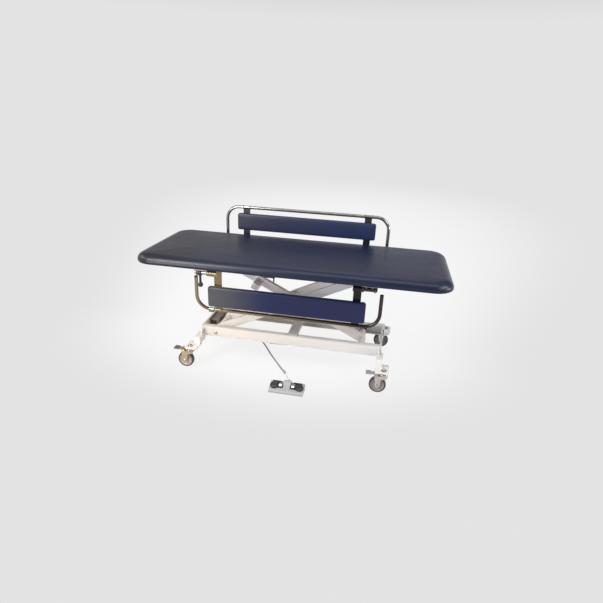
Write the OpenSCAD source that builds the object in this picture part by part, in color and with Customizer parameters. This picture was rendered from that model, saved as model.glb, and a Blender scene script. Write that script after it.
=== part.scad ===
// Treatment table: padded top on an X lift, folding side rails, locking casters and a foot switch.
// Millimetres, +Z up, the origin on the floor under the middle of the whole footprint.
// The long side runs along X and the foot switch lies on the -Y side.

/* [Padded top] */
// length of the padded top
top_length = 1829; // [1700:1:1950]
// width of the padded top
top_width = 710; // [690:1:760]
// thickness of the padded top with its board
top_thickness = 55; // [50:1:75]
// corner radius of the padded top, seen from above
top_corner_r = 112; // [80:1:160]
// radius of the rolled upper edge
top_roll_r = 30; // [20:1:34]
// height of the crown in the middle of the cushion
top_crown = 4; // [1:0.5:8]
// thickness of the board inside the cushion
board_thickness = 15; // [9:1:18]
// how far the cushion wraps outside the board
board_inset = 12; // [8:1:20]

/* [Lift] */
// length of a lift arm between its end pivots
arm_length = 1020; // [980:1:1060]
// slope of the arms as shown, in degrees
arm_angle = 25.8; // [22:0.1:30]
// height of the lower pivots above the floor
pivot_z = 190; // [186:1:200]
// depth of the arm's section
arm_depth = 50; // [40:1:54]
// width of each arm of the outer pair
arm_width = 25; // [20:1:28]
// distance from the middle plane to each arm of the outer pair
arm_y = 90.5; // [88:0.5:92]
// width of the single inner arm
inner_arm_width = 30; // [24:1:40]
// distance from the inner arm's upper end to the cross piece under it
spread_at = 272; // [250:1:290]
// half width of that cross piece
spread_half = 115; // [100:1:120]
// outer radius of the cross tubes
cross_tube_r = 20; // [16:1:22]
// radius of the end shafts
shaft_r = 10; // [8:0.5:12]
// radius of the middle pin
centre_pin_r = 12; // [10:0.5:14]
// radius of the end rollers
roller_r = 22.5; // [18:0.5:24]
// distance of the lift's centre from the middle of the top, along the length
lift_shift = -16; // [-30:1:10]

/* [Base] */
// how far the base rails reach past the arms' lower pivot
base_overhang = 98; // [94:1:106]
// distance from the middle plane to the outer face of a base rail
base_rail_y = 172; // [168:1:176]
// height of the base rails
base_rail_height = 65; // [62:1:76]
// width of a base rail's flanges
base_rail_width = 40; // [34:1:44]
// wall thickness of the base rails
base_wall = 4; // [3:0.5:5]
// how far the middle of each outrigger lies inside the end of the base
outrigger_inset = 8; // [2:1:14]
// width of an outrigger
outrigger_width = 38; // [30:1:40]
// height of an outrigger
outrigger_height = 46; // [36:1:46]
// distance from the middle plane to the outrigger's open end
outrigger_reach = 262; // [250:1:264]

/* [Casters] */
// how far the caster stems lie outside the end of the base
caster_offset = 24; // [16:1:30]
// distance from the middle to each caster stem, across the width
caster_y = 300; // [294:1:306]
// overall height of a caster
caster_height = 135; // [132:1:136]
// wheel radius
wheel_r = 50; // [46:1:52]
// wheel width
wheel_width = 30; // [24:1:34]
// how far the wheel trails behind the stem
caster_trail = 29; // [20:1:34]

/* [Side rails] */
// half distance between the rail's legs, to the tube's centre
rail_half_length = 555; // [548:1:560]
// distance of the rails' middle from the middle of the top, along the length
rail_shift = -16; // [-30:1:10]
// outer radius of the rail tube
rail_tube_r = 11; // [9:0.5:12.5]
// centreline radius of the rail's bends
rail_bend_r = 85; // [60:1:100]
// distance from the hinge line to the rail's far tube
rail_reach = 260; // [250:1:270]
// distance from the hinge line to the rail's plane
rail_crank = 77; // [76:1:90]
// how far each hinge line lies inside the edge of the top
hinge_inset = 58; // [54:1:62]
// half distance between the two straps of a rail
strap_x = 416.5; // [410:0.5:418]
// width of a strap
strap_width = 46; // [40:1:48]
// thickness of a strap
strap_thickness = 8; // [6:1:10]
// radius of a hinge rod
hinge_rod_r = 12.5; // [10:0.5:13]
// half length of a rail's pad
pad_half_length = 472; // [455:1:476]
// height of the front rail's pad
front_pad_height = 128; // [110:1:130]
// height of the rear rail's pad
rear_pad_height = 113; // [100:1:120]
// distance from the hinge line to the middle of a pad
pad_middle = 166; // [164:1:170]
// thickness of a rail's pad
pad_thickness = 26; // [20:1:28]

/* [Foot switch] */
// width of the foot switch
foot_width = 204; // [200:1:220]
// depth of the foot switch
foot_depth = 85; // [80:1:95]
// distance from the middle of the top to the foot switch, along the length
foot_x = 50; // [40:1:60]
// distance from the middle of the top to the foot switch's front edge
foot_front_y = 469; // [460:1:480]
// radius of the round pedals
pedal_r = 24; // [20:1:25]

/* [Show] */
// which part to draw

/* [Hidden] */
$fn = 48;

// clearances shared by everything that fits together
run_gap = 0.05;
side_gap = 0.5;
soft_gap = 0.3;
clear_gap = 3;

// lift geometry: both arms are equal and cross at their middles
arm_span = arm_length * cos(arm_angle);
arm_rise = arm_length * sin(arm_angle);
fixed_x = lift_shift - arm_span / 2;
sliding_x = lift_shift + arm_span / 2;
centre_z = pivot_z + arm_rise / 2;
upper_z = pivot_z + arm_rise;
arm_end_r = arm_depth / 2;
arm_inner_y = arm_y - arm_width / 2;
arm_outer_y = arm_y + arm_width / 2;
roller_width = 26;
axle_r = 8;
head_thickness = 6;

// the top's frame: channels, flat cross plates, then the board
channel_wall = 4;
channel_height = 54;
channel_width = 40;
channel_inner_y = arm_outer_y + 5;
channel_outer_y = channel_inner_y + channel_width;
channel_low_z = upper_z - channel_height / 2;
channel_high_z = upper_z + channel_height / 2;
channel_fixed_overhang = 55;
channel_sliding_overhang = 125;
channel_start = fixed_x - channel_fixed_overhang;
channel_end = sliding_x + channel_sliding_overhang;
plate_thickness = 6;
plate_width = 80;
middle_plate_width = 60;
middle_plate_x = 160;
middle_plate_y = 200;
hinge_y = top_width / 2 - hinge_inset;
outer_plate_y = hinge_y + 38;
deck_z = channel_high_z + plate_thickness;
top_z = deck_z + top_thickness;
upper_roller_y = channel_inner_y + 4;

// the base
base_half_length = base_overhang - fixed_x;
outrigger_x = base_half_length - outrigger_inset;
caster_x = base_half_length + caster_offset;
base_low_z = pivot_z - roller_r - soft_gap - base_wall;
base_high_z = base_low_z + base_rail_height;
base_inner_y = base_rail_y - base_rail_width;
end_plate = 4;
end_flange = 12;
outrigger_wall = 3;
outrigger_cap = 4;
caster_plate_thickness = 8;
outrigger_low_z = caster_height + caster_plate_thickness;
outrigger_high_z = outrigger_low_z + outrigger_height;
gusset_thickness = 5;
gusset_inset = 8;
gusset_reach = 42;
gusset_drop = 5;
caster_plate_length = 80;
caster_plate_width = 105;
caster_plate_r = 12;
caster_plate_inset = 22;
caster_plate_x = caster_x - caster_offset / 2;
caster_plate_y = caster_y - caster_plate_inset;
cross_x = 15;
cross_width = 56;
cross_height = 30;
cross_wall = 3;
lower_roller_y = base_inner_y + 5;
bolt_head_r = 9;
bolt_head = 7;
small_bolt_r = 5;
small_bolt = 4;

// lift actuator: a housing under the base's middle member and a rod on a crank of the outer arms
crank_r = 80;
crank_angle = 270;
crank_thickness = 8;
crank_pin_r = 7;
rod_eye_width = 20;
rod_eye_r = 14;
rod_r = 10;
anchor_x = 0;
anchor_z = 120;
crank_x = fixed_x + crank_r * cos(crank_angle);
crank_z = pivot_z + crank_r * sin(crank_angle);
stroke_x = crank_x - anchor_x;
stroke_z = crank_z - anchor_z;
stroke_length = sqrt(stroke_x * stroke_x + stroke_z * stroke_z);
stroke_angle = atan2(stroke_z, stroke_x);
housing_r = 20;
housing_bore_r = 13.5;
housing_bore_start = 60;
housing_length = 300;
housing_tail = 14;
rod_length = 235;
anchor_pin_r = 6;
anchor_lug = 6;
anchor_lug_width = 26;
motor_r = 21;
motor_length = 120;
motor_start = 30;
motor_y = -46;
motor_foot = 20;

// control box inside the left end of the base
box_gap = 9;
box_length = base_overhang - end_plate - arm_end_r - box_gap;
box_width = 130;
box_height = 50;
box_x = end_plate + box_length / 2 - base_half_length;
box_y = 30;
box_z = base_low_z + base_wall;
gland_x = -535;
gland_y = 80;
gland_r = 9;
gland_collar = 5;
gland_length = 23;
gland_mouth_r = 5.5;

// casters, numbered front left, front right, rear right, rear left
caster_at = [
    [-caster_x, -caster_y],
    [caster_x, -caster_y],
    [caster_x, caster_y],
    [-caster_x, caster_y]
];
stem_plate_r = 20;
stem_plate = 10;
swivel_r = 24;
swivel_z = caster_height - stem_plate - soft_gap;
swivel_height = 14;
fork_plate = 3;
fork_gap = 4;
fork_foot_r = 12;
fork_heel = 20;
fork_skirt = 8;
fork_shoulder = 12;
fork_neck = 18;
lock_lug_length = 22;
fork_inner_y = wheel_width / 2 + fork_gap;
fork_top_z = swivel_z - swivel_height;
wheel_axle_r = 5;
wheel_hub_r = 10;
axle_head_r = 8;
axle_head = 3;
wheel_rim = 17;
wheel_shoulder = 9;
wheel_recess = 8;
stem_nut_r = 11;
stem_nut = 8;
lock_x = -43;
lock_z = fork_top_z + 10;
lock_reach = 60;
lock_width = 30;
lock_pad_width = 40;
lock_pad_length = 30;
lock_thickness = 5;
lock_barrel_r = 6;
lock_pin_r = 2.5;

// side rails, drawn raised about a hinge line along X
strap_hub_r = 19;
tube_wall = 2;
cap_thickness = 6;
leg_start = 54;
rod_out = 526;
rod_in = strap_x - strap_width / 2;
bracket_x = 483;
bracket_length = 70;
bracket_width = 70;
bracket_thickness = 5;
lug_thickness = 6;
lug_x = 32;
lug_r = 19;
hinge_z = upper_z;
backboard = 8;
pad_corner_r = 14;
lever_x = 496;
lever_width = 20;
lever_collar_r = 19;
lever_rod_r = 7;
lever_reach = 76;
knob_r = 15;
knob_flat = 2.5;

// small junction box under the board
junction_x = -115;
junction_y = -200;
junction_length = 60;
junction_width = 60;
junction_height = 50;
junction_lead_r = 4;
junction_lead = 36;
junction_lead_x = 20;

// foot switch
foot_low = 16;
foot_high = 36;
foot_nose = 5;
hump_width = 42;
hump_top = 50;
pedal_slope = atan2(foot_high - foot_low, foot_depth - 2 * foot_nose);
pedal_thickness = 7;
pedal_gap = 5;
pedal_disc_x = 75;
pedal_square_x = 37;
pedal_square = 26;
pedal_barrel_r = 4;
pedal_barrel_length = 50;
pedal_barrel_x = 62;
pedal_barrel_y = foot_depth / 2 - 15;
pedal_barrel_z = foot_high + 4;
pedal_pin_r = 1.5;
pedal_ear = 3;
foot_y = foot_depth / 2 - foot_front_y;
boot_r = 6;
boot_mouth_r = 3.2;
boot_length = 20;
boot_z = 34;

// cords
cord_r = 4.5;
cord_sides = 8;
connector_r = 8;
thin_cord_r = 2.2;
lead_route = [
    [-535, 80, 144.2],
    [-535, 81, 122],
    [-535, 84, 95],
    [-534, 90, 66],
    [-531, 100, 40],
    [-526, 114, 18],
    [-516, 130, 8],
    [-500, 146, 5],
    [-460, 168, 5],
    [-410, 186, 5],
    [-360, 192, 5],
    [-315, 186, 5],
    [-282, 168, 5],
    [-258, 143, 5],
    [-235, 113, 5],
    [-212, 78, 5],
    [-190, 42, 5],
    [-166, 2, 5],
    [-142, -38, 5],
    [-117, -76, 5],
    [-92, -113, 5],
    [-68, -149, 5],
    [-43, -186, 5],
    [-19, -221, 5]
];
connector_start = [-19, -221, 8];
connector_end = [-2, -246, 8];
thin_route = [
    [-2, -246, 8],
    [5, -257, 6],
    [12, -268, 3.5],
    [19, -280, 3],
    [26, -291, 3],
    [32, -302, 3],
    [37, -313, 4],
    [42, -323, 8],
    [45, -332, 15],
    [47, -340, 23],
    [49, -348, 30],
    [50, -356, 33.5],
    [50, -364, 34]
];

// the footprint's middle becomes the origin
rear_reach = hinge_y + rail_crank + rail_tube_r;
place_y = (foot_front_y - rear_reach) / 2;

// Helpers

module place() {
    translate([0, place_y, 0]) children();
}

// cylinder along X, centred
module bar_x(r, length) {
    rotate([0, 90, 0]) cylinder(r = r, h = length, center = true);
}

// cylinder along Y, centred
module bar_y(r, length) {
    rotate([90, 0, 0]) cylinder(r = r, h = length, center = true);
}

// cylinder along Y between two distances
module bar_y_from(r, y1, y2) {
    translate([0, (y1 + y2) / 2, 0]) bar_y(r, y2 - y1);
}

// box given by its middle and its size
module block(at, size) {
    translate(at) cube(size, center = true);
}

// flat shape with round corners, centred
module round_rect(length, width, r) {
    square([length - 2 * r, width], center = true);
    square([length, width - 2 * r], center = true);
    for (sx = [-1, 1], sy = [-1, 1])
        translate([sx * (length / 2 - r), sy * (width / 2 - r)]) circle(r = r);
}

// flat bar with round ends from the origin along +X
module round_bar(length, depth) {
    translate([0, -depth / 2]) square([length, depth]);
    circle(r = depth / 2);
    translate([length, 0]) circle(r = depth / 2);
}

// turns a shape drawn in XY into the XZ plane, with its thickness along Y
module upright(thickness) {
    rotate([90, 0, 0]) linear_extrude(height = thickness, center = true) children();
}

// turns a shape drawn as (Y, Z) into the YZ plane, with its thickness along X
module sideways(thickness) {
    rotate([90, 0, 90]) linear_extrude(height = thickness, center = true) children();
}

// points of a round-cornered outline, moved in from the full size
function outline(length, width, r, inset, steps) = [
    for (c = [0:3], k = [0:steps])
        let (
            a = c * 90 + k * 90 / steps,
            sx = (c == 0 || c == 3) ? 1 : -1,
            sy = (c < 2) ? 1 : -1,
            rr = max(r - inset, 1),
            extra = max(inset - r + 1, 0)
        )
        [sx * (length / 2 - r - extra) + rr * cos(a), sy * (width / 2 - r - extra) + rr * sin(a)]
];

// closed soft form from a stack of outlines, each given as [inset, height]
module soft_form(length, width, r, stack, steps) {
    count = 4 * (steps + 1);
    points = [
        for (s = stack)
            for (p = outline(length, width, r, s[0], steps)) [p[0], p[1], s[1]]
    ];
    sides = [
        for (i = [0:len(stack) - 2], j = [0:count - 1])
            let (a = i * count + j, b = i * count + (j + 1) % count)
            [a, a + count, b + count, b]
    ];
    low = [for (j = [0:count - 1]) j];
    high = [for (j = [count - 1:-1:0]) (len(stack) - 1) * count + j];
    polyhedron(points = points, faces = concat([low], sides, [high]), convexity = 6);
}

// point on a smooth curve through four neighbouring points
function curve(a, b, c, d, t) =
    0.5 * (2 * b + (c - a) * t + (2 * a - 5 * b + 4 * c - d) * t * t
        + (3 * b - a - 3 * c + d) * t * t * t);

// route with one more point between each two
function smooth(route) = let (last = len(route) - 1) concat(
    [
        for (i = [0:last - 1], t = [0, 0.5])
            curve(route[max(i - 1, 0)], route[i], route[i + 1], route[min(i + 2, last)], t)
    ],
    [route[last]]
);

// unit direction and ring frame of a route at point i
function unit(v) = v / norm(v);
function heading(route, i) =
    unit(route[min(i + 1, len(route) - 1)] - route[max(i - 1, 0)]);
function across(d) = unit(cross([0.12, 0.08, 1], d));
function ring(route, i, r, sides) =
    let (d = heading(route, i), u = across(d), v = cross(d, u))
    [for (k = [0:sides - 1]) route[i] + r * (cos(k * 360 / sides) * u + sin(k * 360 / sides) * v)];

// tube swept along a smooth route
module cord(hand_route, r, sides) {
    route = smooth(hand_route);
    points = [for (i = [0:len(route) - 1]) each ring(route, i, r, sides)];
    walls = [
        for (i = [0:len(route) - 2], j = [0:sides - 1])
            let (a = i * sides + j, b = i * sides + (j + 1) % sides)
            each [[a, a + sides, b + sides], [a, b + sides, b]]
    ];
    start = [for (j = [0:sides - 1]) j];
    finish = [for (j = [sides - 1:-1:0]) (len(route) - 1) * sides + j];
    polyhedron(points = points, faces = concat([start], walls, [finish]), convexity = 8);
}

// Padded top

module cushion() {
    low = deck_z;
    high = top_z;
    roll = top_roll_r;
    lip = board_inset - 2 * soft_gap;
    ceiling = deck_z + board_thickness + soft_gap;
    stack = [
        [lip, ceiling],
        [lip, low],
        [4, low],
        [1, low + 5],
        [0, high - roll],
        for (a = [15:15:75]) [roll * (1 - cos(a)), high - roll + roll * sin(a)],
        [roll, high],
        [60, high + top_crown * 0.4],
        [130, high + top_crown * 0.75],
        [230, high + top_crown]
    ];
    color([0.13, 0.15, 0.30])
        soft_form(top_length, top_width, top_corner_r, stack, 12);
}

module deck_board() {
    color([0.72, 0.58, 0.40])
        translate([0, 0, deck_z]) linear_extrude(height = board_thickness)
            round_rect(top_length - 2 * board_inset, top_width - 2 * board_inset,
                top_corner_r - board_inset);
}

// Frame under the top

module deck_channel(side) {
    length = channel_end - channel_start;
    middle = (channel_start + channel_end) / 2;
    web_y = channel_outer_y - channel_wall / 2;
    flange_y = (channel_inner_y + channel_outer_y) / 2;
    block([middle, side * web_y, upper_z], [length, channel_wall, channel_height]);
    block([middle, side * flange_y, channel_low_z + channel_wall / 2],
        [length, channel_width, channel_wall]);
    block([middle, side * flange_y, channel_high_z - channel_wall / 2],
        [length, channel_width, channel_wall]);
}

module deck_channels() {
    color([0.93, 0.92, 0.88]) {
        deck_channel(-1);
        deck_channel(1);
    }
}

module deck_plates() {
    z = deck_z - plate_thickness / 2;
    color([0.93, 0.92, 0.88]) {
        for (side = [-1, 1]) {
            block([rail_shift + side * bracket_x, 0, z],
                [plate_width, 2 * outer_plate_y, plate_thickness]);
            block([rail_shift + side * middle_plate_x, 0, z],
                [middle_plate_width, 2 * middle_plate_y, plate_thickness]);
        }
    }
}

// one hinge bracket: a foot plate with two lugs, round at their ends
module hinge_bracket() {
    foot_z = channel_high_z - bracket_thickness / 2 - hinge_z;
    block([0, 0, foot_z], [bracket_length, bracket_width, bracket_thickness]);
    for (side = [-1, 1])
        translate([side * lug_x, 0, 0]) sideways(lug_thickness) difference() {
            union() {
                circle(r = lug_r);
                translate([-lug_r, 0])
                    square([2 * lug_r, channel_high_z - bracket_thickness - hinge_z]);
            }
            circle(r = hinge_rod_r + run_gap);
        }
}

module hinge_brackets() {
    color([0.75, 0.75, 0.77])
        for (sx = [-1, 1], sy = [-1, 1])
            translate([rail_shift + sx * bracket_x, sy * hinge_y, hinge_z]) hinge_bracket();
}

module top_shaft() {
    color([0.75, 0.75, 0.77])
        translate([fixed_x, 0, upper_z]) bar_y(shaft_r, 2 * (channel_outer_y - channel_wall));
}

module junction_box() {
    box_low = deck_z - junction_height;
    color([0.12, 0.11, 0.12]) {
        block([junction_x, junction_y, deck_z - junction_height / 2],
            [junction_length, junction_width, junction_height]);
        translate([junction_x + junction_lead_x, junction_y, box_low - junction_lead])
            cylinder(r = junction_lead_r, h = junction_lead);
    }
}

// Base

module base_rail(side) {
    length = 2 * base_half_length;
    middle_z = (base_low_z + base_high_z) / 2;
    web_y = base_rail_y - base_wall / 2;
    flange_y = base_rail_y - base_rail_width / 2;
    block([0, side * web_y, middle_z], [length, base_wall, base_rail_height]);
    block([0, side * flange_y, base_low_z + base_wall / 2], [length, base_rail_width, base_wall]);
    block([0, side * flange_y, base_high_z - base_wall / 2],
        [length, base_rail_width, base_wall]);
    for (sx = [-1, 1])
        block([sx * (base_half_length - end_plate / 2), side * flange_y, middle_z],
            [end_plate, base_rail_width, base_rail_height]);
}

module base_rails() {
    color([0.93, 0.92, 0.88]) {
        base_rail(-1);
        base_rail(1);
    }
}

// channel between the rails at each end of the base, open towards the middle
module base_ends() {
    middle_z = (base_low_z + base_high_z) / 2;
    web_x = base_half_length - end_plate / 2;
    flange_x = base_half_length - end_flange / 2;
    color([0.93, 0.92, 0.88])
        for (side = [-1, 1]) {
            block([side * web_x, 0, middle_z], [end_plate, 2 * base_inner_y, base_rail_height]);
            for (z = [base_low_z + base_wall / 2, base_high_z - base_wall / 2])
                block([side * flange_x, 0, z], [end_flange, 2 * base_inner_y, base_wall]);
        }
}

// upright web between a rail's side and the top of an outrigger, in the YZ plane
module outrigger_gusset(side) {
    rise = base_high_z - gusset_drop - outrigger_high_z;
    curve = [for (a = [0 : 15 : 90])
        [side * (base_rail_y + gusset_reach * cos(a)), outrigger_high_z + rise * sin(a)]];
    rotate([90, 0, 90]) linear_extrude(height = gusset_thickness, center = true)
        polygon(concat([[side * base_rail_y, outrigger_high_z]], curve));
}

// short tubes out of the rails' sides, each with a flat plate for a caster under its end
module base_outriggers() {
    length = outrigger_reach - base_rail_y;
    middle_y = (outrigger_reach + base_rail_y) / 2;
    middle_z = outrigger_low_z + outrigger_height / 2;
    color([0.93, 0.92, 0.88])
        for (sx = [-1, 1], sy = [-1, 1]) {
            difference() {
                block([sx * outrigger_x, sy * middle_y, middle_z],
                    [outrigger_width, length, outrigger_height]);
                block([sx * outrigger_x, sy * middle_y, middle_z],
                    [outrigger_width - 2 * outrigger_wall, length + 2,
                        outrigger_height - 2 * outrigger_wall]);
            }
            translate([sx * caster_plate_x, sy * caster_plate_y, caster_height])
                linear_extrude(height = caster_plate_thickness)
                    round_rect(caster_plate_length, caster_plate_width, caster_plate_r);
            translate([sx * (outrigger_x - gusset_inset), 0, 0]) outrigger_gusset(sy);
        }
}

module base_cross() {
    z = base_high_z - cross_height / 2;
    lug_length = base_high_z - cross_height + cross_wall / 2 - anchor_z;
    lug_y = housing_r + side_gap + anchor_lug / 2;
    color([0.93, 0.92, 0.88]) {
        difference() {
            block([cross_x, 0, z], [cross_width, 2 * base_inner_y, cross_height]);
            block([cross_x, 0, z], [cross_width - 2 * cross_wall, 2 * base_inner_y + 2,
                cross_height - 2 * cross_wall]);
        }
        for (side = [-1, 1])
            translate([anchor_x, side * lug_y, anchor_z]) upright(anchor_lug) difference() {
                union() {
                    circle(r = anchor_lug_width / 2);
                    translate([-anchor_lug_width / 2, 0]) square([anchor_lug_width, lug_length]);
                }
                circle(r = anchor_pin_r);
            }
        translate([anchor_x, 0, anchor_z]) bar_y(anchor_pin_r, 2 * (lug_y + anchor_lug));
    }
}

// pivot shaft of the outer arms with its heads, and the bolts beside the middle member
module base_bolts() {
    web = base_rail_y - base_wall;
    bolt_y = base_rail_y - base_rail_width / 2;
    bolt_x = cross_width / 2 + 2 * small_bolt_r;
    color([0.35, 0.35, 0.37]) {
        translate([fixed_x, 0, pivot_z]) {
            bar_y(shaft_r, 2 * web);
            bar_y_from(bolt_head_r, base_rail_y, base_rail_y + bolt_head);
            bar_y_from(bolt_head_r, -base_rail_y - bolt_head, -base_rail_y);
        }
        for (sx = [-1, 1], sy = [-1, 1])
            translate([cross_x + sx * bolt_x, sy * bolt_y, base_high_z])
                cylinder(r = small_bolt_r, h = small_bolt);
    }
}

module control_box() {
    socket_width = 28;
    socket_height = 20;
    socket_depth = 12;
    color([0.30, 0.30, 0.33])
        difference() {
            block([box_x, box_y, box_z + box_height / 2], [box_length, box_width, box_height]);
            block([box_x, box_y - box_width / 2, box_z + box_height / 2],
                [socket_width, 2 * socket_depth, socket_height]);
        }
}

module cord_gland() {
    color([0.10, 0.10, 0.11])
        translate([gland_x, gland_y, box_z - gland_length]) {
            cylinder(r1 = gland_mouth_r, r2 = gland_r - 1, h = gland_length - gland_collar);
            translate([0, 0, gland_length - gland_collar])
                cylinder(r = gland_r, h = gland_collar);
        }
}

module outrigger_caps() {
    z = outrigger_low_z + outrigger_height / 2;
    y = outrigger_reach + outrigger_cap / 2;
    color([0.80, 0.80, 0.78])
        for (sx = [-1, 1], sy = [-1, 1])
            translate([sx * outrigger_x, sy * y, z]) upright(outrigger_cap)
                round_rect(outrigger_width, outrigger_height, 4);
}

// Casters

module caster_stems() {
    color([0.45, 0.45, 0.47])
        for (p = caster_at)
            translate([p[0], p[1], 0]) {
                translate([0, 0, caster_height - stem_plate])
                    cylinder(r = stem_plate_r, h = stem_plate);
                translate([0, 0, outrigger_low_z]) cylinder(r = stem_nut_r, h = stem_nut, $fn = 6);
            }
}

// side plate of the fork, in the caster's own XZ plane
module fork_side() {
    foot_z = wheel_r - fork_foot_r / 3;
    polygon([
        [-caster_trail - fork_heel, fork_top_z],
        [swivel_r, fork_top_z],
        [swivel_r, fork_top_z - fork_skirt],
        [-caster_trail + fork_neck, fork_top_z - fork_skirt - fork_shoulder],
        [-caster_trail + fork_foot_r, foot_z],
        [-caster_trail - fork_foot_r, foot_z],
        [-caster_trail - fork_neck, fork_top_z - fork_skirt - fork_shoulder],
        [-caster_trail - fork_heel, fork_top_z - fork_skirt]
    ]);
    translate([-caster_trail, wheel_r]) circle(r = fork_foot_r);
}

module caster_fork(i) {
    outer_y = fork_inner_y + fork_plate;
    lug_y = lock_width / 2 + side_gap + fork_plate / 2;
    lug_low = fork_top_z + fork_plate - 1;
    lug_high = lock_z + lock_pin_r + 2.5;
    color([0.72, 0.72, 0.74])
        translate([caster_at[i][0], caster_at[i][1], 0]) {
            translate([0, 0, fork_top_z + fork_plate])
                cylinder(r = swivel_r, h = swivel_height - fork_plate);
            block([(swivel_r - caster_trail - fork_heel) / 2, 0, fork_top_z + fork_plate / 2],
                [swivel_r + caster_trail + fork_heel, 2 * outer_y, fork_plate]);
            for (side = [-1, 1])
                translate([0, side * (fork_inner_y + fork_plate / 2), 0]) upright(fork_plate)
                    fork_side();
            translate([-caster_trail, 0, wheel_r]) bar_y(wheel_axle_r, 2 * outer_y);
            for (side = [-1, 1])
                translate([-caster_trail, side * (outer_y + axle_head / 2), wheel_r])
                    bar_y(axle_head_r, axle_head);
            for (side = [-1, 1])
                block([lock_x, side * lug_y, (lug_low + lug_high) / 2],
                    [lock_lug_length, fork_plate, lug_high - lug_low]);
            translate([lock_x, 0, lock_z]) bar_y(lock_pin_r, 2 * lug_y);
        }
}

module caster_wheel(i) {
    half = wheel_width / 2;
    hub_half = fork_inner_y - side_gap;
    color([0.22, 0.22, 0.24])
        translate([caster_at[i][0] - caster_trail, caster_at[i][1], wheel_r])
            rotate([90, 0, 0]) rotate_extrude()
                polygon([
                    [wheel_axle_r + run_gap, -hub_half],
                    [wheel_hub_r, -hub_half],
                    [wheel_hub_r, -half + wheel_recess],
                    [wheel_r - wheel_rim, -half + wheel_recess],
                    [wheel_r - wheel_rim + 3, -half + 1],
                    [wheel_r - 5, -half],
                    [wheel_r - 1, -half + 4],
                    [wheel_r, -half + wheel_shoulder],
                    [wheel_r, half - wheel_shoulder],
                    [wheel_r - 1, half - 4],
                    [wheel_r - 5, half],
                    [wheel_r - wheel_rim + 3, half - 1],
                    [wheel_r - wheel_rim, half - wheel_recess],
                    [wheel_hub_r, half - wheel_recess],
                    [wheel_hub_r, hub_half],
                    [wheel_axle_r + run_gap, hub_half]
                ]);
}

module caster_lock(i) {
    color([0.25, 0.25, 0.27])
        translate([caster_at[i][0] + lock_x, caster_at[i][1], lock_z]) difference() {
            union() {
                bar_y(lock_barrel_r, lock_width);
                block([-(lock_reach - lock_pad_length) / 2, 0, 0],
                    [lock_reach - lock_pad_length, lock_width, lock_thickness]);
                block([-lock_reach + lock_pad_length / 2, 0, 1],
                    [lock_pad_length, lock_pad_width, lock_thickness + 2]);
            }
            bar_y(lock_pin_r + run_gap, lock_width + 2);
        }
}

// Lift

// the outer pair of arms, rising from the left, with the cross tube and crank at their low end
module outer_arms() {
    tie_at = 850;
    tie_r = 15;
    crank_y = rod_eye_width / 2 + side_gap + crank_thickness / 2;
    color([0.86, 0.86, 0.88])
        translate([fixed_x, 0, pivot_z]) difference() {
            union() {
                for (side = [-1, 1])
                    translate([0, side * arm_y, 0]) rotate([0, -arm_angle, 0]) upright(arm_width)
                        round_bar(arm_length, arm_depth);
                bar_y(cross_tube_r, 2 * arm_inner_y);
                rotate([0, -arm_angle, 0]) translate([tie_at, 0, 0]) bar_y(tie_r, 2 * arm_inner_y);
                for (side = [-1, 1])
                    translate([0, side * crank_y, 0]) rotate([0, -crank_angle, 0])
                        upright(crank_thickness) round_bar(crank_r, 2 * rod_eye_r);
            }
            bar_y(shaft_r + run_gap, 2 * arm_outer_y + 2);
            rotate([0, -arm_angle, 0]) translate([arm_length / 2, 0, 0])
                bar_y(centre_pin_r, 2 * arm_outer_y + 2);
            rotate([0, -crank_angle, 0]) translate([crank_r, 0, 0])
                bar_y(crank_pin_r, 2 * (crank_y + crank_thickness));
        }
}

module outer_arm_pins() {
    head_r = centre_pin_r + 6;
    crank_out = rod_eye_width / 2 + side_gap + crank_thickness;
    color([0.70, 0.70, 0.72]) {
        translate([lift_shift, 0, centre_z]) {
            bar_y(centre_pin_r, 2 * arm_outer_y);
            bar_y_from(head_r, arm_outer_y, arm_outer_y + head_thickness / 2);
            bar_y_from(head_r, -arm_outer_y - head_thickness / 2, -arm_outer_y);
        }
        translate([crank_x, 0, crank_z]) bar_y(crank_pin_r, 2 * crank_out);
        for (side = [-1, 1])
            translate([sliding_x, side * (arm_outer_y + upper_roller_y + roller_width) / 2, upper_z])
                bar_y(axle_r, upper_roller_y + roller_width - arm_outer_y);
    }
}

// the single inner arm, falling from the left, with its cross tubes and middle sleeve
module inner_arm() {
    end_half = arm_outer_y - 3;
    sleeve_half = arm_inner_y - side_gap;
    spread_length = 46;
    spread_depth = 38;
    spread_drop = 9;
    color([0.86, 0.86, 0.88])
        translate([fixed_x, 0, upper_z]) difference() {
            union() {
                rotate([0, arm_angle, 0]) upright(inner_arm_width) round_bar(arm_length, arm_depth);
                bar_y(cross_tube_r, 2 * end_half);
                rotate([0, arm_angle, 0]) {
                    translate([arm_length, 0, 0]) bar_y(cross_tube_r, 2 * end_half);
                    translate([arm_length / 2, 0, 0]) bar_y(cross_tube_r, 2 * sleeve_half);
                    block([spread_at, 0, -spread_drop],
                        [spread_length, 2 * spread_half, spread_depth]);
                }
            }
            bar_y(shaft_r + run_gap, 2 * end_half + 2);
            rotate([0, arm_angle, 0]) translate([arm_length / 2, 0, 0])
                bar_y(centre_pin_r + run_gap, 2 * sleeve_half + 2);
        }
}

module inner_arm_axle() {
    start = arm_outer_y - 3;
    finish = lower_roller_y + roller_width;
    color([0.70, 0.70, 0.72])
        for (side = [-1, 1])
            translate([sliding_x, side * (start + finish) / 2, pivot_z]) bar_y(axle_r, finish - start);
}

module roller_pair(z, start) {
    color([0.10, 0.10, 0.11])
        for (side = [-1, 1])
            translate([sliding_x, side * (start + roller_width / 2), z]) difference() {
                bar_y(roller_r, roller_width);
                bar_y(axle_r + run_gap, roller_width + 2);
            }
}

module upper_rollers() {
    roller_pair(upper_z, upper_roller_y);
}

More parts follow.
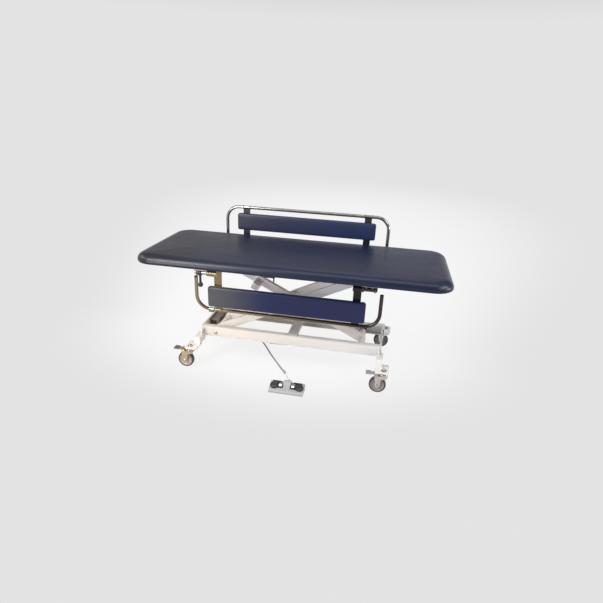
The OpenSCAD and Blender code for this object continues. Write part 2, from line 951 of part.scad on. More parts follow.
module lower_rollers() {
    roller_pair(pivot_z, lower_roller_y);
}

// Actuator, drawn along its own line from the anchor towards the crank

module along_actuator() {
    translate([anchor_x, 0, anchor_z]) rotate([0, -stroke_angle, 0]) children();
}

module actuator_housing() {
    bore_length = housing_length - housing_bore_start;
    color([0.20, 0.20, 0.22])
        along_actuator() difference() {
            translate([(housing_length - housing_tail) / 2, 0, 0])
                bar_x(housing_r, housing_length + housing_tail);
            translate([housing_bore_start + bore_length / 2 + 1, 0, 0])
                bar_x(housing_bore_r, bore_length + 2);
            bar_y(anchor_pin_r + run_gap, 3 * housing_r);
        }
}

// motor beside the housing, on a foot cut to the housing's round side
module actuator_motor() {
    foot_length = motor_length / 3;
    color([0.20, 0.20, 0.22])
        along_actuator() difference() {
            union() {
                translate([motor_start + motor_length / 2, motor_y, 0])
                    bar_x(motor_r, motor_length);
                block([motor_start + foot_length, motor_y / 2, 0],
                    [foot_length, abs(motor_y), motor_foot]);
            }
            translate([housing_length / 2, 0, 0]) bar_x(housing_r, housing_length + 2);
        }
}

module actuator_rod() {
    color([0.75, 0.75, 0.77])
        along_actuator() difference() {
            union() {
                translate([stroke_length - rod_length / 2, 0, 0]) bar_x(rod_r, rod_length);
                translate([stroke_length, 0, 0]) bar_y(rod_eye_r, rod_eye_width);
            }
            translate([stroke_length, 0, 0]) bar_y(crank_pin_r + run_gap, rod_eye_width + 2);
        }
}

// Side rails: raised, hinge line at the origin, the rail's plane on the -Y side

// quarter bend of tube in the XZ plane, from pointing down at +X to pointing along the top
module tube_bend(side) {
    translate([side * (rail_half_length - rail_bend_r), 0, rail_reach - rail_bend_r])
        rotate([90, 0, 0]) rotate([0, 0, side > 0 ? 0 : 90]) rotate_extrude(angle = 90)
            translate([rail_bend_r, 0]) difference() {
                circle(r = rail_tube_r);
                circle(r = rail_tube_r - tube_wall);
            }
}

module straight_tube(length) {
    difference() {
        cylinder(r = rail_tube_r, h = length);
        translate([0, 0, -1]) cylinder(r = rail_tube_r - tube_wall, h = length + 2);
    }
}

module rail_tube() {
    low = leg_start + cap_thickness;
    color([0.45, 0.44, 0.43])
        translate([0, -rail_crank, 0]) {
            for (side = [-1, 1]) {
                translate([side * rail_half_length, 0, low])
                    straight_tube(rail_reach - rail_bend_r - low);
                tube_bend(side);
            }
            translate([rail_bend_r - rail_half_length, 0, rail_reach]) rotate([0, 90, 0])
                straight_tube(2 * (rail_half_length - rail_bend_r));
        }
}

// cranked strap, drawn as (Y, Z) and given its width along X
module rail_straps() {
    corner = 16;
    half = strap_thickness / 2;
    color([0.45, 0.44, 0.43])
        for (side = [-1, 1])
            translate([side * strap_x, 0, 0]) difference() {
                union() {
                    sideways(strap_width) {
                        circle(r = strap_hub_r);
                        translate([corner - rail_crank - half, -half])
                            square([rail_crank + half - corner, strap_thickness]);
                        translate([-rail_crank - half, corner - half])
                            square([strap_thickness, rail_reach - corner + half]);
                        translate([corner - rail_crank - half, corner - half]) difference() {
                            circle(r = corner);
                            circle(r = corner - strap_thickness);
                            translate([0, -corner]) square([corner, 2 * corner]);
                            translate([-corner, 0]) square([2 * corner, corner]);
                        }
                    }
                }
                bar_x(hinge_rod_r + run_gap, strap_width + 2);
                translate([0, -rail_crank, rail_reach]) bar_x(rail_tube_r + run_gap, strap_width + 2);
            }
}

module rail_rods() {
    color([0.62, 0.61, 0.60])
        for (side = [-1, 1])
            translate([side * (rod_in + rod_out) / 2, 0, 0]) bar_x(hinge_rod_r, rod_out - rod_in);
}

module rail_board(pad_height) {
    face = strap_thickness / 2 - rail_crank;
    color([0.08, 0.08, 0.09])
        translate([0, face + backboard / 2, pad_middle]) upright(backboard)
            round_rect(2 * pad_half_length - 8, pad_height - 8, pad_corner_r - 4);
}

module rail_pad(pad_height) {
    face = strap_thickness / 2 - rail_crank + backboard + soft_gap;
    stack = [
        [3, 0],
        [0, 4],
        [0, pad_thickness - 10],
        [1.5, pad_thickness - 5],
        [5, pad_thickness - 1.5],
        [10, pad_thickness],
        [25, pad_thickness + 1]
    ];
    color([0.13, 0.15, 0.30])
        translate([0, face, pad_middle]) rotate([-90, 0, 0])
            soft_form(2 * pad_half_length, pad_height, pad_corner_r, stack, 4);
}

module rail_caps() {
    color([0.08, 0.08, 0.09])
        for (side = [-1, 1])
            translate([side * rail_half_length, -rail_crank, leg_start])
                cylinder(r = rail_tube_r, h = cap_thickness);
}

// clamp lever hanging on a hinge rod
module lever() {
    rod_low = knob_r - knob_flat - lever_reach;
    rod_high = (lever_collar_r + hinge_rod_r) / 2;
    color([0.62, 0.61, 0.60])
        translate([-lever_x, 0, 0]) {
            difference() {
                bar_x(lever_collar_r, lever_width);
                bar_x(hinge_rod_r + run_gap, lever_width + 2);
            }
            translate([0, 0, rod_low]) cylinder(r = lever_rod_r, h = -rod_low - rod_high);
        }
}

module knob() {
    color([0.06, 0.06, 0.07])
        translate([-lever_x, 0, -lever_reach]) difference() {
            sphere(r = knob_r);
            translate([0, 0, knob_r - knob_flat]) cylinder(r = knob_r, h = 2 * knob_flat);
        }
}

// the front rail hangs down and the rear rail stands up
module at_front() {
    translate([rail_shift, -hinge_y, hinge_z]) children();
}

module at_front_lowered() {
    at_front() rotate([180, 0, 0]) children();
}

module at_rear() {
    translate([rail_shift, hinge_y, hinge_z]) rotate([0, 0, 180]) children();
}

// Foot switch, drawn about the middle of its footprint

// wedge with a hump in the middle, ears for the two pedals and a boot for the lead
module foot_housing() {
    half = foot_depth / 2;
    hump_y = half - 22;
    ear_out = pedal_barrel_length / 2 + side_gap + pedal_ear / 2;
    ear_r = pedal_barrel_r;
    color([0.60, 0.61, 0.63])
        translate([foot_x, foot_y, 0]) {
            sideways(foot_width) polygon([
                [-half, 0],
                [-half, foot_low - foot_nose],
                [-half + foot_nose, foot_low],
                [half - foot_nose, foot_high],
                [half, foot_high - foot_nose],
                [half, 0]
            ]);
            sideways(hump_width) polygon([
                [-half + 14, foot_low],
                [hump_y - 6, hump_top - 3],
                [hump_y, hump_top],
                [half - 6, hump_top],
                [half, hump_top - 6],
                [half, foot_low]
            ]);
            for (side = [-1, 1]) {
                for (end = [-1, 1])
                    translate([side * pedal_barrel_x + end * ear_out, pedal_barrel_y,
                        pedal_barrel_z]) sideways(pedal_ear) {
                            circle(r = ear_r);
                            translate([-ear_r, -pedal_barrel_z / 2])
                                square([2 * ear_r, pedal_barrel_z / 2]);
                        }
                translate([side * pedal_barrel_x, pedal_barrel_y, pedal_barrel_z])
                    bar_x(pedal_pin_r, 2 * ear_out);
            }
            translate([0, half, boot_z]) rotate([-90, 0, 0])
                cylinder(r1 = boot_r, r2 = boot_mouth_r, h = boot_length);
        }
}

// round pedal and square button on one plate, hinged at the back
module foot_pedal(side) {
    reach = 34;
    low = -2;
    web = pedal_disc_x - pedal_square_x;
    color([0.05, 0.05, 0.06])
        translate([foot_x, foot_y + pedal_barrel_y, pedal_barrel_z]) difference() {
            union() {
                translate([side * pedal_barrel_x, 0, 0])
                    bar_x(pedal_barrel_r, pedal_barrel_length);
                rotate([pedal_slope, 0, 0]) {
                    translate([side * pedal_disc_x, -reach, low])
                        cylinder(r = pedal_r, h = pedal_thickness);
                    block([side * pedal_square_x, -reach, low + pedal_thickness / 2],
                        [pedal_square, pedal_square, pedal_thickness]);
                    block([side * (pedal_square_x + web / 2), -reach, low + pedal_gap / 2],
                        [web, pedal_square / 2, pedal_gap]);
                    block([side * pedal_barrel_x, -reach / 2, low + pedal_gap / 2],
                        [pedal_square, reach, pedal_gap]);
                }
            }
            translate([side * pedal_barrel_x, 0, 0])
                bar_x(pedal_pin_r + run_gap, pedal_barrel_length + 2);
        }
}

// Cords

module cord_lead() {
    color([0.25, 0.25, 0.25]) cord(lead_route, cord_r, cord_sides);
}

module cord_connector() {
    d = connector_end - connector_start;
    color([0.30, 0.30, 0.31])
        translate(connector_start) rotate([0, 90, atan2(d[1], d[0])])
            cylinder(r = connector_r, h = norm(d));
}

module cord_thin() {
    color([0.70, 0.70, 0.70]) cord(thin_route, thin_cord_r, cord_sides);
}

place() cushion();
place() deck_board();
place() deck_channels();
place() deck_plates();
place() hinge_brackets();
place() top_shaft();
place() junction_box();
place() base_rails();
place() base_ends();
place() base_outriggers();
place() base_cross();
place() base_bolts();
place() control_box();
place() cord_gland();
place() outrigger_caps();
place() caster_stems();
place() caster_fork(0);  // caster_fork_1
place() caster_fork(1);  // caster_fork_2
place() caster_fork(2);  // caster_fork_3
place() caster_fork(3);  // caster_fork_4
place() caster_wheel(0);  // caster_wheel_1
place() caster_wheel(1);  // caster_wheel_2
place() caster_wheel(2);  // caster_wheel_3
place() caster_wheel(3);  // caster_wheel_4
place() caster_lock(0);  // caster_lock_1
place() caster_lock(1);  // caster_lock_2
place() caster_lock(2);  // caster_lock_3
place() caster_lock(3);  // caster_lock_4
place() outer_arms();
place() outer_arm_pins();
place() inner_arm();
place() inner_arm_axle();
place() upper_rollers();
place() lower_rollers();
place() actuator_housing();
place() actuator_motor();
place() actuator_rod();
place() at_front_lowered() rail_tube();  // front_rail_tube
place() at_front_lowered() rail_straps();  // front_rail_straps
place() at_front_lowered() rail_rods();  // front_rail_rods
place() at_front_lowered() rail_board(front_pad_height);  // front_rail_board
place() at_front_lowered() rail_pad(front_pad_height);  // front_rail_pad
place() at_front_lowered() rail_caps();  // front_rail_caps
place() at_rear() rail_tube();  // rear_rail_tube
place() at_rear() rail_straps();  // rear_rail_straps
place() at_rear() rail_rods();  // rear_rail_rods
place() at_rear() rail_board(rear_pad_height);  // rear_rail_board
place() at_rear() rail_pad(rear_pad_height);  // rear_rail_pad
place() at_rear() rail_caps();  // rear_rail_caps
place() at_front() lever();  // front_lever
place() at_front() knob();  // front_knob
place() at_rear() lever();  // rear_lever
place() at_rear() knob();  // rear_knob
place() foot_housing();
place() foot_pedal(-1);  // foot_pedal_left
place() foot_pedal(1);  // foot_pedal_right
place() cord_lead();
place() cord_connector();
place() cord_thin();
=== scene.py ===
import math

import bmesh
import bpy
from mathutils import Matrix, Vector, noise


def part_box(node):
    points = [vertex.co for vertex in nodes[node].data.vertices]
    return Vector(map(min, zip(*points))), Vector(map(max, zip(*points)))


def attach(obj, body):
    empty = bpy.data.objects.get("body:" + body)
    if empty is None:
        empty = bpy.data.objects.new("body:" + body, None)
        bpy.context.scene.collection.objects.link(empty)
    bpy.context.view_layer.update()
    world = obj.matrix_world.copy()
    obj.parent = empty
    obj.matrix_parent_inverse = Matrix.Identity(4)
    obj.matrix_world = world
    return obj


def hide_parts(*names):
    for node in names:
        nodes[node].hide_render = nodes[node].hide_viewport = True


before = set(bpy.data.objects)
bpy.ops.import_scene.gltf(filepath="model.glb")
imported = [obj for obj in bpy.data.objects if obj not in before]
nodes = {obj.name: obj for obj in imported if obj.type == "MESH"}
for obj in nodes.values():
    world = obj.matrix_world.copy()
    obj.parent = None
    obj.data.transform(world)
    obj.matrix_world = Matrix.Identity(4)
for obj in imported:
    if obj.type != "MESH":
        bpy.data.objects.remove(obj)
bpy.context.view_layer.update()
scene = bpy.context.scene
scene.view_settings.view_transform = "Standard"

MM = 0.001
SHIFT_Y = 0.042  # the table's middle line in the frame
TOP_X = -0.016  # the lift's and the rails' middle
FRAME_PX, FOCAL_PX = 603, 471.26  # the photograph's width and the fitted focal length


# Camera, at the photograph's angle

def make_camera():
    yaw, pitch, roll = 0.173, 0.388, 0.043
    cy, sy, cp, sp = math.cos(yaw), math.sin(yaw), math.cos(pitch), math.sin(pitch)
    forward = Vector((-sy * cp, cy * cp, -sp))
    right = Vector((cy, sy, 0))
    up = right.cross(forward)
    side = right * math.cos(roll) + up * math.sin(roll)
    head = up * math.cos(roll) - right * math.sin(roll)
    data = bpy.data.cameras.new("camera")
    data.sensor_width = 36.0
    data.lens = FOCAL_PX / FRAME_PX * data.sensor_width
    data.clip_end = 100
    cam = bpy.data.objects.new("camera", data)
    scene.collection.objects.link(cam)
    place = Matrix((side, head, -forward)).transposed().to_4x4()
    place.translation = Vector((0.5206, -2.744 + SHIFT_Y, 1.5353))
    cam.matrix_world = place
    scene.camera = cam


make_camera()


# Materials

def node(nt, kind, **values):
    """Adds a node; each value sets one of its properties or, by name, one of its inputs."""
    n = nt.nodes.new(kind)
    for key, value in values.items():
        if hasattr(n, key):
            setattr(n, key, value)
        else:
            n.inputs[key.replace("_", " ")].default_value = value
    return n


def rgba(sockets):
    """The colour sockets of a Mix node, which has a set for each data type."""
    return [socket for socket in sockets if socket.type == "RGBA"]


def ranged(nt, value, source, target=(0.0, 1.0), kind="LINEAR"):
    """Maps one range of a value onto another."""
    n = node(nt, "ShaderNodeMapRange", interpolation_type=kind, From_Min=source[0],
             From_Max=source[1], To_Min=target[0], To_Max=target[1])
    nt.links.new(value, n.inputs["Value"])
    return n.outputs["Result"]


def blend(nt, share, first, second):
    """The colour that a share from 0 to 1 picks between two."""
    mix = node(nt, "ShaderNodeMix", data_type="RGBA")
    for socket, color in zip(rgba(mix.inputs), (first, second)):
        socket.default_value = (*color, 1)
    nt.links.new(share, mix.inputs[0])
    return rgba(mix.outputs)[0]


def surface(
    name,
    color,
    rough,
    metallic=0.0,
    vary=0.08,
    vary_scale=14.0,
    rough_vary=0.08,
    rough_scale=30.0,
    grain=(),
    specular=0.5,
):
    """A procedural material: two close tones, uneven gloss and a bump made of several grains."""
    mat = bpy.data.materials.new(name)
    mat.use_nodes = True
    nt = mat.node_tree
    shader = nt.nodes["Principled BSDF"]
    link = nt.links.new
    coord = node(nt, "ShaderNodeTexCoord").outputs["Object"]
    tones = node(nt, "ShaderNodeTexNoise", Scale=vary_scale, Detail=5.0, Roughness=0.6)
    link(coord, tones.inputs["Vector"])
    dark = tuple(c * (1 - vary) for c in color)
    light = tuple(min(1, c * (1 + vary)) for c in color)
    share = ranged(nt, tones.outputs["Fac"], (0.3, 0.7))
    link(blend(nt, share, dark, light), shader.inputs["Base Color"])
    gloss = node(nt, "ShaderNodeTexNoise", Scale=rough_scale, Detail=4.0, Roughness=0.55)
    link(coord, gloss.inputs["Vector"])
    limits = (max(0.02, rough - rough_vary), min(1.0, rough + rough_vary))
    link(ranged(nt, gloss.outputs["Fac"], (0.25, 0.75), limits), shader.inputs["Roughness"])
    shader.inputs["Metallic"].default_value = metallic
    shader.inputs["Specular IOR Level"].default_value = specular
    normal = None
    for kind, scale, strength, depth in grain:
        if kind == "cells":
            tex = node(nt, "ShaderNodeTexVoronoi", feature="DISTANCE_TO_EDGE", Scale=scale)
            out = tex.outputs["Distance"]
        elif kind == "dots":
            tex = node(nt, "ShaderNodeTexVoronoi", feature="F1", Scale=scale)
            out = tex.outputs["Distance"]
        else:
            tex = node(nt, "ShaderNodeTexNoise", Scale=scale, Detail=3.0, Roughness=0.6)
            out = tex.outputs["Fac"]
        link(coord, tex.inputs["Vector"])
        bump = node(nt, "ShaderNodeBump", Strength=strength, Distance=depth)
        link(out, bump.inputs["Height"])
        if normal is not None:
            link(normal, bump.inputs["Normal"])
        normal = bump.outputs["Normal"]
    if normal is not None:
        link(normal, shader.inputs["Normal"])
    return mat


def along(mat, axis, first, second, start, stop):
    """Multiplies a surface's colour by a first tint before start and a second one past stop."""
    nt = mat.node_tree
    link = nt.links.new
    color = nt.nodes["Principled BSDF"].inputs["Base Color"]
    old = color.links[0].from_socket
    split = node(nt, "ShaderNodeSeparateXYZ")
    link(node(nt, "ShaderNodeTexCoord").outputs["Object"], split.inputs["Vector"])
    share = ranged(nt, split.outputs[axis], (start, stop), kind="SMOOTHSTEP")
    wash = node(nt, "ShaderNodeMix", data_type="RGBA", blend_type="MULTIPLY")
    wash.inputs[0].default_value = 1.0
    for source, socket in zip((old, blend(nt, share, first, second)), rgba(wash.inputs)):
        link(source, socket)
    link(rgba(wash.outputs)[0], color)
    return mat


def along_x(mat, left, right, start, stop):
    """The same from left to right."""
    return along(mat, "X", left, right, start, stop)


def vinyl(name, left, right, start, stop):
    """Coated fabric: soft waves, a fine cell grain and an even satin gloss; its colour is washed from a
    left tint to a right one, and the greyer left tint is painted sheen.
    """
    return along_x(
        surface(
            name, (0.80, 0.80, 0.80), 0.33, vary=0.12, vary_scale=4.0, rough_vary=0.05,
            rough_scale=7.0, specular=0.34,
            grain=[("noise", 9.0, 0.4, 0.0008), ("cells", 900.0, 0.14, 0.00025),
                   ("noise", 1800.0, 0.10, 0.0001)],
        ),
        left, right, start, stop,
    )


def paint(name, color, vary=0.025):
    """Powder coat with a fine orange-peel grain."""
    return surface(
        name, color, 0.42, vary=vary, vary_scale=6.0, rough_vary=0.07, rough_scale=25.0,
        grain=[("noise", 900.0, 0.22, 0.00012)],
    )


def strap(name, color, rough, metallic):
    """Drawn flat steel."""
    return surface(
        name, color, rough, metallic=metallic, vary=0.16, vary_scale=30.0, rough_vary=0.08,
        rough_scale=50.0, grain=[("noise", 420.0, 0.2, 0.0001)],
    )


def plated(name, color, metallic):
    """Zinc-plated steel."""
    return surface(
        name, color, 0.33, metallic=metallic, vary=0.14, vary_scale=60.0, rough_vary=0.12,
        rough_scale=90.0, grain=[("noise", 700.0, 0.2, 0.00008)],
    )


def moulded(name, color):
    """Moulded plastic of the wheels' middles."""
    return surface(
        name, color, 0.38, vary=0.16, vary_scale=60.0, rough_vary=0.08,
        grain=[("noise", 500.0, 0.12, 0.0001)],
    )


# the greyer left ends of the top and of both pads are painted sheen
VINYL = vinyl("vinyl", (0.011, 0.012, 0.021), (0.009, 0.013, 0.040), -0.85, 0.05)
VINYL_FRONT = vinyl("vinyl_front", (0.080, 0.080, 0.088), (0.010, 0.015, 0.068), -0.48, -0.10)
VINYL_REAR = vinyl("vinyl_rear", (0.023, 0.026, 0.056), (0.017, 0.029, 0.086), -0.40, 0.40)
# the front rail's chrome is warm bronze at the left and near black at the right: painted reflections
CHROME = along_x(
    surface(
        "chrome", (0.85, 0.85, 0.85), 0.07, metallic=1.0, vary=0.12, vary_scale=18.0,
        rough_vary=0.04, rough_scale=40.0, grain=[("noise", 260.0, 0.05, 0.00004)],
    ),
    (0.46, 0.375, 0.25), (0.08, 0.066, 0.060), -0.60, 0.50,
)
# the rear rail's chrome is a dark copy of the chrome: painted dark reflection
CHROME_REAR = surface(
    "chrome_rear", (0.30, 0.29, 0.28), 0.15, metallic=1.0, vary=0.12, vary_scale=18.0,
    rough_vary=0.06, rough_scale=40.0, grain=[("noise", 260.0, 0.12, 0.00006)],
)
# the front straps run from warm and light at the left to near black at the right: painted reflection
STRAP = along_x(
    strap("strap_steel", (0.80, 0.80, 0.80), 0.30, 0.9),
    (0.36, 0.28, 0.16), (0.040, 0.038, 0.045), -0.42, 0.25,
)
STRAP_REAR = strap("strap_rear", (0.05, 0.05, 0.065), 0.35, 0.8)
# the powder coat is warmer at the left end: painted warm light
POWDER = along_x(
    paint("powder_coat", (0.96, 0.96, 0.96)),
    (0.635, 0.58, 0.53), (0.63, 0.615, 0.60), -0.40, 0.50,
)
# the arms are darker towards the right, painted shade under the top, and cooler high up, painted blue
# light from the navy top; they are warmer low down
ARM_PAINT = along(
    along_x(
        paint("arm_paint", (0.96, 0.96, 0.96)),
        (0.95, 0.93, 0.92), (0.78, 0.78, 0.81), -0.42, 0.20,
    ),
    "Z", (0.97, 0.90, 0.84), (0.97, 0.97, 1.0), 0.30, 0.62,
)
# the cross piece's paint is a darker copy of the powder coat: painted shade
CROSS_PAINT = paint("cross_paint", (0.50, 0.47, 0.44), vary=0.03)
ZINC = plated("zinc", (0.50, 0.48, 0.46), 0.95)
# the hinge brackets are light and warm at the left and near black at the right: painted reflection
BRACKET = along_x(
    plated("bracket_steel", (0.80, 0.80, 0.80), 0.9),
    (0.72, 0.64, 0.56), (0.060, 0.056, 0.060), -0.40, 0.30,
)
# the caster forks are golden at the left and greyer at the right: painted warm reflection
FORK = along_x(
    surface(
        "fork_steel", (0.85, 0.85, 0.85), 0.24, metallic=0.9, vary=0.16, vary_scale=50.0,
        rough_vary=0.10, rough_scale=80.0, grain=[("noise", 700.0, 0.2, 0.00008)],
    ),
    (0.68, 0.54, 0.34), (0.70, 0.64, 0.60), -0.50, 0.40,
)
BLACK = surface(
    "black_plastic", (0.016, 0.016, 0.018), 0.42, vary=0.2, vary_scale=40.0, rough_vary=0.09,
    rough_scale=60.0, grain=[("dots", 1400.0, 0.25, 0.0001)],
)
DARK = surface(
    "dark_housing", (0.20, 0.155, 0.135), 0.5, vary=0.12, vary_scale=30.0, rough_vary=0.08,
    grain=[("dots", 1200.0, 0.25, 0.0001)],
)
GREY = surface(
    "grey_plastic", (0.31, 0.31, 0.31), 0.48, vary=0.06, vary_scale=30.0, rough_vary=0.07,
    grain=[("dots", 1500.0, 0.28, 0.00012)],
)
CAP = surface(
    "cap_plastic", (0.70, 0.69, 0.66), 0.5, vary=0.04, vary_scale=20.0,
    grain=[("noise", 1200.0, 0.15, 0.0001)],
)
LOCK = along_x(
    surface(
        "lock_lever", (0.90, 0.90, 0.90), 0.45, vary=0.12, vary_scale=50.0, rough_vary=0.1,
        grain=[("dots", 1300.0, 0.3, 0.00012)],
    ),
    (0.17, 0.18, 0.13), (0.33, 0.34, 0.32), -0.40, 0.40,
)
TREAD = surface(
    "tread", (0.050, 0.042, 0.040), 0.62, vary=0.22, vary_scale=60.0, rough_vary=0.1,
    grain=[("noise", 900.0, 0.3, 0.00015)],
)
# the front wheels' middles are warmer and lighter at the left, painted warm light; the rear ones are a
# dark copy, painted shade
DISC = along_x(
    moulded("wheel_disc", (0.90, 0.90, 0.90)),
    (0.40, 0.32, 0.28), (0.26, 0.25, 0.24), -0.50, 0.40,
)
DISC_REAR = moulded("wheel_disc_rear", (0.13, 0.125, 0.12))
CORD_DARK = surface(
    "cord_dark", (0.19, 0.19, 0.18), 0.55, vary=0.15, vary_scale=60.0, rough_vary=0.08,
    grain=[("noise", 1500.0, 0.25, 0.00008)],
)
CORD_LIGHT = surface(
    "cord_light", (0.42, 0.42, 0.42), 0.5, vary=0.08, vary_scale=60.0, rough_vary=0.08,
    grain=[("noise", 1500.0, 0.2, 0.00006)],
)
LINING = surface(
    "dust_cover", (0.020, 0.020, 0.022), 0.85, vary=0.2, vary_scale=40.0, rough_vary=0.06,
    grain=[("cells", 1100.0, 0.5, 0.0002), ("noise", 30.0, 0.4, 0.0008)],
)
PEDAL = surface(
    "pedal_rubber", (0.030, 0.031, 0.030), 0.38, vary=0.25, vary_scale=60.0, rough_vary=0.10,
    rough_scale=90.0, grain=[("noise", 600.0, 0.25, 0.0002)],
)
TILE = surface(
    "white_tile", (0.82, 0.82, 0.80), 0.35, vary=0.03, vary_scale=60.0,
    grain=[("noise", 900.0, 0.12, 0.00008)],
)
WELD = surface(
    "weld", (0.78, 0.765, 0.72), 0.45, vary=0.05, vary_scale=90.0,
    grain=[("noise", 320.0, 0.5, 0.0006)],
)
WOOD = surface(
    "plywood", (0.50, 0.36, 0.21), 0.6, vary=0.14, vary_scale=12.0, rough_vary=0.08,
    grain=[("noise", 300.0, 0.2, 0.0002)],
)


def dress(names, mat):
    for name in names:
        obj = nodes[name]
        obj.data.materials.clear()
        obj.data.materials.append(mat)


def by_prefix(*starts):
    return [n for n in nodes if n.startswith(starts)]


dress(
    ["base_rails", "base_ends", "base_outriggers", "deck_channels", "deck_plates"],
    POWDER,
)
dress(["base_cross"], CROSS_PAINT)
dress(["outer_arms", "inner_arm"], ARM_PAINT)
dress(["outrigger_caps"], CAP)
dress(
    ["top_shaft", "base_bolts", "caster_stems", "outer_arm_pins", "inner_arm_axle", "actuator_rod"],
    ZINC,
)
dress(["hinge_brackets"], BRACKET)
dress(by_prefix("caster_fork"), FORK)
dress(
    ["upper_rollers", "lower_rollers", "cord_gland", "front_rail_caps", "rear_rail_caps",
     "front_knob", "rear_knob", "foot_pedal_left", "foot_pedal_right", "front_rail_board",
     "rear_rail_board", "actuator_housing", "actuator_motor", "junction_box"],
    BLACK,
)
dress(["control_box"], DARK)
dress(by_prefix("caster_lock"), LOCK)
dress(["front_rail_tube", "front_rail_rods"], CHROME)
dress(["rear_rail_tube", "rear_rail_rods", "rear_lever"], CHROME_REAR)
dress(["front_rail_straps"], STRAP)
dress(["rear_rail_straps", "front_lever"], STRAP_REAR)
dress(["foot_housing", "cord_connector"], GREY)
dress(["deck_board"], WOOD)


SMOOTH_DEGREES = 35  # sharper edges than this stay crisp


def split_edges(obj, degrees):
    """Keeps edges sharper than an angle crisp where the faces are shaded smoothly."""
    split = obj.modifiers.new("split", "EDGE_SPLIT")
    split.split_angle = math.radians(degrees)


def smooth_cad(obj, bevel):
    """Rounds the CAD node's sharp edges a little and shades its curved faces smoothly."""
    mesh = obj.data
    mesh.polygons.foreach_set("use_smooth", [True] * len(mesh.polygons))
    if bevel:
        weld = obj.modifiers.new("weld", "WELD")
        weld.merge_threshold = 0.00001
        mod = obj.modifiers.new("edges", "BEVEL")
        mod.width = bevel
        mod.segments = 2
        mod.limit_method = "ANGLE"
        mod.angle_limit = math.radians(SMOOTH_DEGREES)
        mod.use_clamp_overlap = True
    split_edges(obj, SMOOTH_DEGREES)


BEVELS = {"base_rails": 0.0012, "base_ends": 0.001, "base_outriggers": 0.0012, "base_cross": 0.001,
          "outer_arms": 0.0015, "inner_arm": 0.0015, "foot_housing": 0.0025}
for name, obj in nodes.items():
    smooth_cad(obj, BEVELS.get(name, 0.0))


# Mesh helpers

def make_object(name, verts, faces, mat, body, smooth=True):
    """Makes a mesh piece that rides on a body and takes the given material."""
    mesh = bpy.data.meshes.new(name)
    mesh.from_pydata([tuple(v) for v in verts], [], faces)
    mesh.validate()
    bm = bmesh.new()
    bm.from_mesh(mesh)
    bmesh.ops.recalc_face_normals(bm, faces=bm.faces)
    bm.to_mesh(mesh)
    bm.free()
    mesh.polygons.foreach_set("use_smooth", [smooth] * len(mesh.polygons))
    mesh.materials.append(mat)
    obj = bpy.data.objects.new(name, mesh)
    scene.collection.objects.link(obj)
    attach(obj, body)
    return obj


def outline(length, width, r, inset, corner, step):
    """Round-cornered outline, inset by a distance, with points along the straight sides too.

    corner is the number of faces round a corner, step their numbers along a long side and an end.
    """
    least = 0.001  # an inset past the corner's radius keeps a corner this small
    arc = max(r - inset, least)
    extra = max(inset - r + least, 0.0)
    hx, hy = length / 2 - r - extra, width / 2 - r - extra
    points = []
    for c in range(4):
        sx = 1 if c in (0, 3) else -1
        sy = 1 if c < 2 else -1
        for k in range(corner + 1):
            a = math.radians(90 * c + 90 * k / corner)
            points.append((sx * hx + arc * math.cos(a), sy * hy + arc * math.sin(a)))
        nx = 1 if (c + 1) % 4 in (0, 3) else -1
        ny = 1 if (c + 1) % 4 < 2 else -1
        a = math.radians(90 * (c + 1))
        end = (nx * hx + arc * math.cos(a), ny * hy + arc * math.sin(a))
        count = step[c % 2]
        start = points[-1]
        for k in range(1, count):
            t = k / count
            points.append((start[0] + (end[0] - start[0]) * t, start[1] + (end[1] - start[1]) * t))
    return points


def stacked(length, width, r, stack, corner, step):
    """Closed ring-swept form from (inset, height) pairs, in metres, about its middle."""
    verts, faces = [], []
    for inset, height in stack:
        verts += [(x, y, height) for x, y in outline(length, width, r, inset, corner, step)]
    count = len(verts) // len(stack)
    for i in range(len(stack) - 1):
        for j in range(count):
            a, b = i * count + j, i * count + (j + 1) % count
            faces.append((a, a + count, b + count, b))
    faces.append(tuple(range(count)))
    # the middle is closed by strips from one long side to the other, and by a face at each end
    top, ends = (len(stack) - 1) * count, step[1]
    last, near = 2 * corner + step[0], corner + 1
    for j in range(near, last - near):
        faces.append((top + j, top + j + 1, top + count - ends - j - 1, top + count - ends - j))
    faces.append(tuple(top + j for j in range(last - near, last + ends + near + 1)))
    faces.append(tuple(top + j % count for j in range(count - ends - near, count + near + 1)))
    return verts, faces


